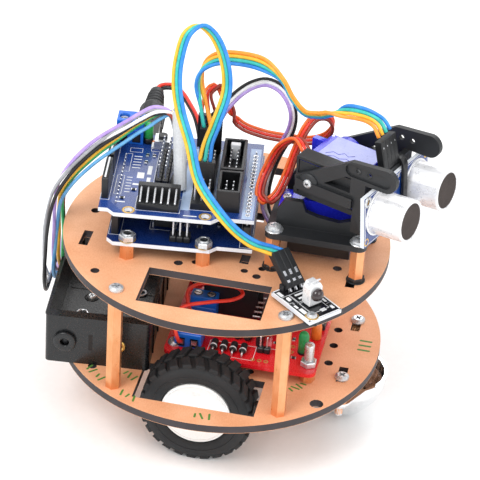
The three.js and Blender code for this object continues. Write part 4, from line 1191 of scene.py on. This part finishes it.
def add_shield_parts():
    z = SHIELD_TOP
    piece = Piece("shield_parts", BOARDS)
    add_box_header(piece, z, 24.6, 46.4, 6)
    add_box_header(piece, z, 47.4, 62, 3)
    piece.box((41.4, 45), span_v(26.2, 28.4), (z + 2, z + 8.4), SILK, 0.2)
    add_shield_pins(piece, z)
    add_shield_sockets(piece, z)
    add_shield_strips(piece, z)
    add_shield_corner(piece, z)
    for u, v in ((22.6, 33), (22.8, 46)):
        add_chip(piece, u, -v, z, (4, 9.6), 7)
    add_resistors(piece, z, ((26.8, -24, 90), (22.4, -23.4, 0), (22.4, -25.8, 0), (10.4, -28, 90),
                             (13, -28, 90), (10.4, -33, 90), (4.4, -58.6, 0), (8, -52.4, 0), (12.4, -52.4, 0),
                             (20.4, -53.6, 0), (24, -53.6, 0)))
    add_shield_print(piece, z)
    piece.make("chassis")


# ---------------------------------------------------------------- infrared module
def add_infrared_pins(piece, z):
    """The header with its bent pins, and the three single plugs that lean on them."""
    piece.box((-10.9, -8.4), (-4, 5), (z, z + 2.5), PLASTIC, 0.2)
    lean = move(-12.5, 0.5, 55.4) @ turn("Y", 40)
    for k in (-1, 0, 1):
        y = 0.5 + k * PIN
        upper = [(-9.6, y, z + 1), (-9.6, y, z + 3.1), (-9.2, y, z + 4.2), (-8.4, y, z + 4.6)]
        piece.tube(upper, 0.32, TINNED)
        lower = [(-7.4, y, z + 0.1), (-7.4, y, z + 1), (-7.9, y, z + 1.9), (-8.9, y, z + 2.7)]
        piece.tube(lower, 0.32, TINNED)
        at = lean @ move(0, k * PIN)
        piece.box((-7.1, 6.6), (-1.2, 1.2), (-1.38, 1.42), PLASTIC, 0.3, at)
        piece.box((0.6, 2.6), (-0.5, 0.5), (1.4, 1.5), TINNED, 0.03, at)
        piece.box((4.2, 5.2), (-0.6, 0.6), (1.4, 1.5), TINNED, 0.03, at)
        piece.box((6.5, 8.4), (-PIN_HALF, PIN_HALF), (-PIN_HALF, PIN_HALF), TINNED, 0.1, at)


def add_infrared_print(piece, z):
    """White frames and bars, standing in for the module's printing. They spell nothing."""
    for x0, x1, y0, y1 in ((-6, -0.6, -3, 3.6), (0.2, 7.6, -3.4, 4.2), (-6, -1.6, -6.6, -3.4)):
        piece.outline(x0, x1, y0, y1, z, 0.2)
    for x, y, wide, long in ((-4.6, 0.4, 1, 4), (-2.4, 0.4, 1, 4), (7.6, 1.6, 1.6, 2.2), (7.9, 5.4, 2, 1.2),
                             (2.2, 5.6, 4.4, 1), (4.6, -5.2, 3.4, 1.6), (1.2, -5.6, 2, 1), (-8.2, 5.8, 3, 1),
                             (-8, -5.6, 3, 1.4)):
        piece.bar(x, y, wide, long, z)


def add_infrared_parts():
    z = INFRARED_TOP
    piece = Piece("infrared_parts", INFRARED)
    add_infrared_pins(piece, z)
    piece.box((-4.6, -2.6), (-5.8, -4.6), (z, z + 0.8), SILK, 0.2)
    for x in (-10.9, 10.35):
        piece.box((x, x + 0.55), (-7.3, 7.3), (z, z + 0.04), SILK, 0.01)
    for y in (-7.3, 6.75):
        piece.box((-10.9, 10.9), (y, y + 0.55), (z, z + 0.04), SILK, 0.01)
    for y in (-1.6, 0.5, 2.6):
        piece.tube([(3, y, z + 0.7), (2.4, y, z + 0.4), (1.2, y, z + 0.06)], 0.25, TINNED)
    piece.lathe([(2.5, 0), (2.45, 0.7), (1.9, 1.6), (1, 2.1), (0.01, 2.25)], LENS_DARK, 20,
                move(4.85, 0.5, z + 5.2) @ turn("Y", 90))
    piece.box((2.2, 3), (-2.5, 3.5), (z + 9.4, z + 9.7), SMOKE, 0.08)
    add_resistors(piece, z, ((-4, 4.6, 0), (-1, 4.6, 0), (-0.6, -4.6, 90), (6.6, 5.2, 0)))
    add_infrared_print(piece, z)
    hole = (8.6, -4.4)
    piece.pad(2.1, 0.5, 0.1, move(*hole, z + 0.01), 24, 6)
    piece.screw(*hole, z, 2, spin=10)
    piece.hexagon(*hole, DECK, 47.38, 5, NYLON)
    piece.make("chassis")


# ---------------------------------------------------------------- pan base and head
TILT_AXIS = (-4.2, 83.4)


def add_pan_base_parts():
    """Screws and washers on the base, and the nuts at its posts' feet, above and below the deck; the one
    below is round and wide, and fills the opening round the post with black, painted shade of the space under
    the deck.
    """
    piece = Piece("pan_base_screws")
    for k, (x, y) in enumerate(((20, -16.6), (20, 11.4), (51.2, -16.6), (51.2, 11.4))):
        at = move(x, y)
        piece.lathe([(1.8, 62.51), (3.4, 62.53), (3.4, 62.8), (1.8, 62.82)], STEEL, 24, at)
        piece.screw(x, y, 62.8, 2.8, spin=37 * k + 8)
        piece.rod(x, y, DECK, DECK + 0.5, 3.5, NYLON, 24, 0.1)
        # Painted shade: the round black nut under the deck is wide enough that the opening round the post's
        # foot shows black.
        piece.lathe([(0.01, 40.4), (2.8, 40.5), (2.9, 41.9), (5.2, 42), (5.2, 42.84), (0.01, 42.84)], NYLON,
                    24, at)
        piece.hexagon(x, y, DECK + 0.4, 48, 5.7, NYLON, start=0.2 * k)
    for x in (21.9, 49.3):
        piece.screw(x, -1.1, 66.92, 1.9, spin=15 + x)
    piece.make("chassis")


def add_pan_servo_stickers():
    piece = Piece("servo_stickers_pan")
    for y in ((-7.28, -7.21), (5.01, 5.08)):
        piece.box((25, 45.8), y, (52, 63.6), STICKER, 0.02, corner=0.6)
    piece.box((24, 24.19), (-3.2, -0.2), (50, 52.6), NYLON, 0.05)
    piece.make("chassis")


def add_servo_horn():
    """The white horn under the yoke, pressed on the pan servo's spline."""
    piece = Piece("pan_horn", PAN)
    piece.lathe([(2.45, 72.2), (3.5, 72.3), (3.5, 74.1), (2.45, 74.15)], WHITE, closed=True)
    piece.box((-13, 13), (-1.9, 1.9), (73, 74.1), WHITE, 0.2, corner=1.8)
    piece.make("pan_head")


def add_tilt_servo_parts():
    """The tilt servo's sticker with a plain figure, its screws, and the parts in the yoke's near arm."""
    piece = Piece("tilt_servo_parts", PAN)
    top = 89.5
    piece.box((-7.6, 12.4), (-6.9, 8.4), (top, top + 0.06), STICKER, 0.02, corner=0.5)
    for line in ([(-5.4, -4.2), (-3.4, -1.8), (-1, -2.4), (0.4, -0.4), (2.6, -1.6), (4.4, 0.2)],
                 [(-3.8, -5.4), (-1.6, -4.2), (0.8, -4.8), (2.8, -3.4), (5.2, -4)]):
        piece.tube([(x, y, top + 0.05) for x, y in line], 0.14, STICKER_DARK, 6)
    for x in (-9.3, 11.9):
        for y in (-6.4, 7.6):
            piece.rod(x, y, top - 0.3, top + 0.12, 0.55, STEEL, 10, 0.05)
    piece.box((-14.85, -14.78), (2.1, 4.4), (78, 88.8), SERVO, 0.02)
    for x in (-12.4, 15):
        piece.screw(0, 0, 0, 1.9, at=move(x, 1.9, TILT_AXIS[1]) @ turn("X", 90), spin=x * 5)
    piece.box((-10, 12.6), (-14.1, -13.92), (77.4, 89.6), NYLON, 0.03)
    piece.box((0.6, 9.4), (-14.2, -14.08), (79.4, 85.2), ORANGE_PART, 0.02, corner=0.6)
    piece.box((-10.6, -10.05), (-8.2, -3.4), (84.6, 87.4), NYLON, 0.1)
    piece.make("pan_head")


def add_tilt_bracket_parts():
    """On each arm of the bracket: the cap and screw of its pivot, two eyelets and a rib."""
    piece = Piece("tilt_bracket_parts", PAN)
    for side in (-1, 1):
        face = turn("X", -90 * side)
        spot = move(TILT_AXIS[0], side * 16.55, TILT_AXIS[1]) @ face
        head = [(0.01, -0.3), (3.6, -0.3), (3.8, 0), (3.6, 0.5), (2.5, 0.8), (0.01, 0.8)]
        piece.lathe(head, NYLON, 24, spot)
        piece.screw(0, 0, 0.75, 1.7, at=spot, spin=30)
        for x in (15, 19.5):
            piece.ring(1.05, 0.22, NYLON, move(x, side * 15.55, 95) @ face @ move(0, 0, 0.05), 18, 6)
        rib = outwards(side, 14.24, 14.05)
        piece.box((-8.6, 13.6), rib, (80.4, 81.4), NYLON, 0.06)
        piece.box((-8.2, -7.2), rib, (80.4, 84.4), NYLON, 0.06)
    piece.make("tilt_head")


# ---------------------------------------------------------------- ultrasonic sensor
BOARD_FRONT_X = 0.8


def facing(x, y, z):
    """A frame on the sensor's board whose z runs forwards."""
    return move(x, y, z) @ turn("Y", 90)


def add_can(piece, y):
    """One ultrasonic can's woven mesh behind its rolled rim, its foot ring and its two soldered legs."""
    at = facing(14, y, 0.6)
    piece.lathe([(0.01, 0), (6.75, 0), (6.75, 0.06), (0.01, 0.08)], MESH_DARK, 36, at)
    piece.lathe([(6.7, 0), (8, 0), (7.98, 0.22), (7.6, 0.42), (7.1, 0.42), (6.7, 0.2)], ALUMINIUM, 40, at,
                closed=True)
    step, count, radius = 0.62, 21, 6.7
    for k in range(count):
        d = (k - (count - 1) / 2) * step
        half = math.sqrt(radius ** 2 - d * d)
        piece.box((-half, half), (d - 0.1, d + 0.1), (0.06, 0.17), MESH_WIRE, 0.04, at)
        piece.box((d - 0.1, d + 0.1), (-half, half), (0.1, 0.22), MESH_WIRE, 0.04, at)
    piece.lathe([(8, 0), (8.7, 0), (8.7, 0.5), (8.02, 0.8)], ALUMINIUM, 36, facing(BOARD_FRONT_X, y, 0.6),
                closed=True)
    for z in (-6.5, 7.7):
        piece.rod(0, 0, 0, 0.7, 0.6, TINNED, 12, 0.1, facing(-1.5, y, z))


def add_sonar_header(piece):
    """The four bent pins with their pads and print, the strip behind them, and the plugs' housings."""
    for k in range(4):
        y = (k - 1.5) * PIN
        piece.box((-1.6, -0.75), (y - 0.9, y + 0.9), (7.9, 9.6), TINNED)
        piece.box((0.78, 1.02), (y - 0.7, y + 0.7), (7.9, 9.5), TINNED, 0.1)
        piece.box((BOARD_FRONT_X, 0.88), (y - 0.45, y + 0.45), (5.2, 6.3), SILK, 0.03)
        piece.tube([(-1.2, y, 8.8), (-1.9, y, 9.6), (-2.4, y, 10.6), (-2.6, y, 12.4)], 0.32, TINNED)
    piece.box((-3.5, -1), (-5.1, 5.1), (9.2, 11.6), PLASTIC, 0.2)
    for k in range(4):
        at = move(-2.5, (k - 1.5) * PIN, 11.8) @ turn("Y", -9)
        piece.box((-1.42, 1.42), (-1.2, 1.2), (0.1, 11.4), PLASTIC, 0.3, at)
        for x in ((-1.5, -1.4), (1.4, 1.5)):
            piece.box(x, (-0.6, 0.6), (4.2, 7.6), NYLON, 0.03, at)
        piece.box((1.4, 1.46), (-0.2, 0.2), (8.6, 9.2), TINNED, 0.02, at)


def add_sonar_back(piece):
    """Three chips and eight small parts on the back of the board."""
    back = turn("Y", -90)
    for y, long, legs in ((-12.5, 8.6, 7), (-1.6, 5, 4), (11.6, 8.6, 7)):
        add_chip(piece, 0, 0, 0, (4, long), legs, 90, at=move(-BOARD_FRONT_X, y, -1) @ back)
    for y, z in ((-18, 3), (-18, -3), (-6, 4), (-6, -4), (4.6, 3.4), (4.6, -4), (17.4, 4), (17.4, -3)):
        add_resistor(piece, 0, 0, 0, 90, move(-BOARD_FRONT_X, y, z) @ back)


def add_sonar_parts():
    piece = Piece("sonar_parts", SONAR)
    for y in (-13, 13):
        add_can(piece, y)
    add_crystal(piece, -2, 2, -4.4, 4.4, ((1.9, 0), (1.98, 0.3), (1.98, 3.2), (1.9, 3.5)),
                facing(BOARD_FRONT_X, 0, -6.6))
    add_sonar_header(piece)
    add_sonar_back(piece)
    for y, z in ((-20.8, 8.2), (20.8, 8.2), (-20.8, -8.2), (20.8, -8.2)):
        piece.pad(1.25, 0.28, 0.15, facing(0.81, y, z), 20, 6)
    piece.lathe([(1.1, 0), (2.1, 0), (2.1, 0.5), (1.1, 0.5)], STEEL, 24, facing(0.82, -20.4, 8), closed=True)
    ink = (BOARD_FRONT_X, BOARD_FRONT_X + INK)
    for y in ((-22, -21.6), (21.6, 22)):
        piece.box(ink, y, (-9.4, 9.4), SILK, 0.01)
    for z in (-9.6, 9.3):
        piece.box(ink, (-22, 22), (z, z + 0.25), SILK, 0.01)
    piece.make("tilt_head")


def add_cable_tie():
    """A flat tie round the sensor board and the bracket's lower bar, with its lock and its tail behind."""
    line = through([(1.6, 3.5, -8.5), (1.75, 3.6, 0), (1.5, 4.2, 8.6), (0.6, 5.4, 11.6), (-1.6, 6.8, 12.6),
                    (-4, 8, 11.2), (-4.6, 8.6, 6), (-4.8, 8.8, -2), (-6.2, 8.8, -6), (-6.2, 8.4, -9.6),
                    (-4, 7, -11.4), (0.2, 4.4, -11.4), (1.6, 3.5, -8.5)])[:-1]
    count = len(line)
    section = ((-1.4, 0.5), (-1, 0.7), (1, 0.7), (1.4, 0.5), (1.4, -0.5), (1, -0.7), (-1, -0.7), (-1.4, -0.5))
    rings = []
    for k, point in enumerate(line):
        way = (line[(k + 1) % count] - line[k - 1]).normalized()
        side = square_to(Vector((0, 1, 0)), way)
        out = side.cross(way)
        rings.append([tuple(point + side * a + out * b) for a, b in section])
    piece = Piece("cable_tie", SONAR)
    piece.loft(rings, PLASTIC, caps=False, closed=True)
    piece.box((-6.8, -4.4), (7.3, 10.2), (2.6, 7), PLASTIC, 0.4)
    piece.tube([(-5.9, 8.8, 6.6), (-6.1, 8.6, 9), (-6.4, 8.4, 11.5)], 0.9, PLASTIC)
    piece.make("tilt_head")


# ---------------------------------------------------------------- battery holder
HOLDER_FLOOR = 4.6
CELL_X = 9.5
CELL_Z = 13


def add_cell_contacts(piece):
    """At each end of each bay a contact plate, with a spring on one and a raised nub on the other."""
    for bay in (-1, 1):
        x = bay * CELL_X
        for end in (-1, 1):
            piece.box((x - 6.5, x + 6.5), outwards(end, 34.4, 34.05), (HOLDER_FLOOR + 0.6, 20.5), TINNED, 0.1,
                      corner=0.8)
        spiral = []
        for k in range(73):
            a = math.tau * k / 18
            r = 6.2 - 0.038 * k
            spiral.append((x + r * math.cos(a), bay * (34 - 0.078 * k), CELL_Z + r * math.sin(a)))
        piece.tube(spiral, 0.42, TINNED)
        nub = move(x, -bay * 34.1, CELL_Z) @ turn("X", bay * 90)
        piece.lathe([(3.8, -0.1), (3.8, 0.15), (2.6, 0.9), (0.01, 1.1)], TINNED, 20, nub)


def add_holder_end(piece, end):
    """The boss, the brass ring and the slot on one end wall. The black discs in the boss's and the ring's
    holes and the dark sheet of the slot are painted shade.
    """
    face = end * 38.5
    out = turn("X", -90 * end)
    spot = move(12 * end, face, CELL_Z) @ out
    piece.lathe([(1.6, -0.2), (4.2, -0.2), (4.2, 1.2), (3.9, 1.5), (1.9, 1.5), (1.6, 1.2)], HOLDER_BLACK, 28,
                spot, closed=True)
    # Painted shade: a black disc in the boss's hole.
    piece.lathe([(0.01, 0.1), (1.6, 0.1), (1.6, 0.14), (0.01, 0.15)], NYLON, 16, spot)
    spot = move(-8 * end, face, CELL_Z) @ out
    piece.lathe([(1.5, 0), (2.6, 0), (2.6, 0.5), (2.3, 0.7), (1.5, 0.7)], BRASS, 24, spot, closed=True)
    # Painted shade: a black disc in the brass ring's hole.
    piece.lathe([(0.01, 0.02), (1.5, 0.02), (1.5, 0.1), (0.01, 0.12)], NYLON, 16, spot)
    # Painted shade: a dark sheet for the slot.
    piece.block(2.5 * end, face + end * 0.04, 0.75, 0.04, (9.6, 16.6), MESH_DARK, 0.02)


def add_holder_parts():
    floor = HOLDER_FLOOR
    piece = Piece("holder_parts", HOLDER)
    add_cell_contacts(piece)
    for x, y in ((-8.2, 2.6), (8.2, -2.6)):
        piece.ring(2.5, 0.35, HOLDER_BLACK, move(x, y, floor), 22)
        piece.screw(x, y, floor, 1.9, spin=31 + x)
    for x, y in ((-10.2, -8.6), (10.2, 8.6)):
        piece.lathe(above(floor, (1.5, 0), (2.5, 0), (2.5, 0.5), (2.1, 0.7), (1.5, 0.7)), TINNED, 24,
                    move(x, y), closed=True)
    for y in (-24, -8, 8, 24):
        for x in (-CELL_X, CELL_X):
            piece.block(x, y, 7.6, 0.35, (floor, floor + 0.25), HOLDER_BLACK, 0.08)
    for end in (-1, 1):
        add_holder_end(piece, end)
    for side in (-1, 1):
        for y in (-28, -14, 0, 14, 28):
            piece.box(outwards(side, 19.3, 20), (y - 0.6, y + 0.6), (4, 21.6), HOLDER_BLACK)
        piece.box(outwards(side, 19.3, 19.9), (-36, 36), (22.2, 23.4), HOLDER_BLACK, 0.12)
    piece.make("chassis")


# ---------------------------------------------------------------- wheels and motors
TYRE_Y = (30.6, 45.2)
HUB_FACE_Y = 44.6
LUGS = 26


def axle_frame(side):
    """A frame on the axle whose z runs outwards through the wheel."""
    return move(0, 0, AXLE_Z) @ turn("X", -90 * side)


def add_lug(piece, at, low, high, lean):
    """One block of the tread, leaning in degrees from its low end to its high end."""
    rings = []
    for radius, half, inset in ((19.6, 4.9, 0), (21.1, 4.5, 0.1), (21.5, 4, 0.5)):
        ring = []
        for angle, y in ((-half - lean, low + inset), (half - lean, low + inset), (half + lean, high - inset),
                         (-half + lean, high - inset)):
            a = math.radians(angle)
            ring.append((radius * math.cos(a), radius * math.sin(a), y))
        rings.append(ring)
    piece.loft(rings, RUBBER, at)


def add_tyre(side, word):
    """A tyre with two staggered rows of lugs and a band on each side wall."""
    inner, outer = TYRE_Y
    out = axle_frame(side)
    tyre = Piece("tread_" + word)
    tyre.lathe([(13.4, inner + 1), (14.4, inner), (18, inner), (19.9, 31.4), (20.2, 33), (20.2, 42.8),
                (19.9, 44.4), (18, outer), (14.4, outer), (13.4, outer - 1)], RUBBER, 72, out, closed=True)
    for k in range(LUGS):
        for shift, low, high, lean in ((0, 31.5, 37.6, 2.4), (6.9, 38.2, 44.3, -2.4)):
            add_lug(tyre, out @ turn("Z", 360 * k / LUGS + shift), low, high, lean)
    for y in (outer, inner):
        tyre.ring(16.6, 0.25, RUBBER, out @ move(0, 0, y), 60, 6)
    tyre.make("wheel_" + word, ["tyre_" + word])


def add_hub_face(side, word):
    """The raised ring round the shaft, the rim's bead and three marks on the hub's face."""
    face = HUB_FACE_Y
    out = axle_frame(side)
    hub = Piece("hub_face_" + word)
    hub.lathe([(2.6, face), (3.6, face), (3.4, face + 0.3), (2.7, face + 0.3)], WHITE, 30, out, closed=True)
    hub.ring(12.2, 0.25, WHITE, out @ move(0, 0, face), 60)
    for k in range(3):
        hub.box((-1, 1), (8.4, 10.2), (face - 0.05, face + 0.2), WHITE, 0.1, out @ turn("Z", 120 * k))
    hub.make("wheel_" + word)


def add_gear(piece, radius, y0, y1, teeth, at):
    """A brass gear on the axis of at, from y0 to y1 along it."""
    points = []
    for k in range(4 * teeth):
        a = math.tau * k / (4 * teeth)
        r = radius + (0.12 if k % 4 < 2 else -0.22)
        points.append((r * math.cos(a), r * math.sin(a)))
    piece.prism(points, y0, y1, BRASS, 0.04, at)


def add_gear_train(piece, side):
    """Three axes 3.7 mm apart: the motor's own, which the output shares, and one on each side of it."""
    out = axle_frame(side)
    near = out @ move(3.2, 1.85 * side)
    far = out @ move(-3.2, -1.85 * side)
    for axis, y0, y1 in ((out, 16.8, 25.1), (near, 16.4, 24.6), (far, 16.4, 24.6)):
        piece.rod(0, 0, y0, y1, 0.45, STEEL, 12, 0.05, axis)
    for axis, y in ((near, 17.2), (out, 18.9), (far, 20.6), (out, 22.3)):
        add_gear(piece, 2.8, y, y + 1.1, 16, axis)
    for axis, y, wide in ((out, 16.9, 1.7), (near, 18.3, 1.8), (out, 20, 1.7), (far, 21.7, 1.8)):
        add_gear(piece, 0.85, y, y + wide, 7, axis)


def add_motor_parts(side, word):
    """The motor's can, end cap and terminals, and the gears between the gearbox's brass plates."""
    out = axle_frame(side)
    piece = Piece("motor_parts_" + word)
    piece.lathe([(0.01, 1.45), (4.6, 1.45), (4.6, 1.62), (0.01, 1.65)], NYLON, 28, out)
    can = [(x, max(-5, min(5, y))) for x, y in circle(6, 48)]
    piece.prism(can, 1.6, 16.1, STEEL, 0.3, out)
    for x in (-2, 2):
        piece.box((x - 0.9, x + 0.9), outwards(side, 0.75, 1.6), (-5.25, -4.95), BRASS, 0.05)
    for y in (16.05, 24.2):
        piece.box((-6.05, 6.05), outwards(side, y, y + 0.75), (-11.05, 1.05), BRASS, 0.1, corner=0.7)
    add_gear_train(piece, side)
    for x, z in ((-5, 0), (5, -10)):
        piece.rod(0, 0, 16, 25.4, 0.8, STEEL, 12, 0.1, move(x, 0, z) @ turn("X", -90 * side))
    piece.make("chassis", ["gear_motor_" + word])


# ---------------------------------------------------------------- small parts round the boards
def add_power_plug_parts():
    """Finger ridges round the power plug, and the rings of its strain relief."""
    piece = Piece("power_plug_ribs", BOARDS)
    at = move(7.8, 1.8, 59.6) @ turn("X", -90)
    for k in range(14):
        piece.box((4.9, 5.35), (-0.35, 0.35), (2, 12.6), NYLON, 0.08, at @ turn("Z", 360 * k / 14))
    for k in range(4):
        piece.ring(3.5 - 0.2 * k, 0.45, NYLON, at @ move(0, 0, 18.6 + 2.4 * k), 24)
    piece.make("chassis")


def add_harness_sleeve():
    """A pale sleeve that holds the loose wires together where they leave the shield."""
    line = through([(-17.4, -6.2, 67.2), (-17.9, -5.6, 75), (-18.6, -5, 84), (-19.2, -4.6, 92),
                    (-19.6, -4.4, 99)], 2)
    piece = Piece("harness_sleeve")
    piece.loft([*sweep(line, 2.4, 14), *sweep(line, 2.1, 14)[::-1]], SLEEVE, caps=False, closed=True)
    piece.make("chassis")


def add_pan_servo_cage():
    """The black cage that hangs round the pan servo under its base."""
    piece = Piece("pan_servo_cage")
    for y in ((-8.9, -7.4), (5.2, 6.7)):
        piece.box((23.9, 47.3), y, (48.9, 60.05), NYLON, 0.3, corner=0.8)
    piece.make("chassis")


def add_floor():
    z = FLOOR_Z * MM
    mesh = bpy.data.meshes.new("floor")
    corners = [(x * FLOOR_HALF_M, y * FLOOR_HALF_M, z) for x, y in ((-1, -1), (1, -1), (1, 1), (-1, 1))]
    mesh.from_pydata(corners, [], [(0, 1, 2, 3)])
    mesh.materials.append(paint("pale_floor", "f2f2f2", "f8f8f8", 0.85, grain=400, broad=2))
    add_object("floor", mesh)


# ---------------------------------------------------------------- the whole robot
add_camera()
add_studio()
add_floor()
plugs = add_shield_plugs()
add_ribbon_ir()
add_ribbon_sonar()
add_servo_leads()
add_harness()
add_power_lead()
finish_frame()
add_films()
add_deck_screws()
add_caster_fixings()
add_bracket_fixings()
add_film_print()
add_driver_parts()
add_driver_posts()
add_driver_leads()
add_controller_parts()
add_board_fixings()
add_shield_parts()
add_infrared_parts()
add_pan_base_parts()
add_pan_servo_stickers()
add_servo_horn()
add_tilt_servo_parts()
add_tilt_bracket_parts()
add_sonar_parts()
add_cable_tie()
add_holder_parts()
for side, word in ((-1, "right"), (1, "left")):
    add_tyre(side, word)
    add_hub_face(side, word)
    add_motor_parts(side, word)
add_power_plug_parts()
add_harness_sleeve()
add_pan_servo_cage()
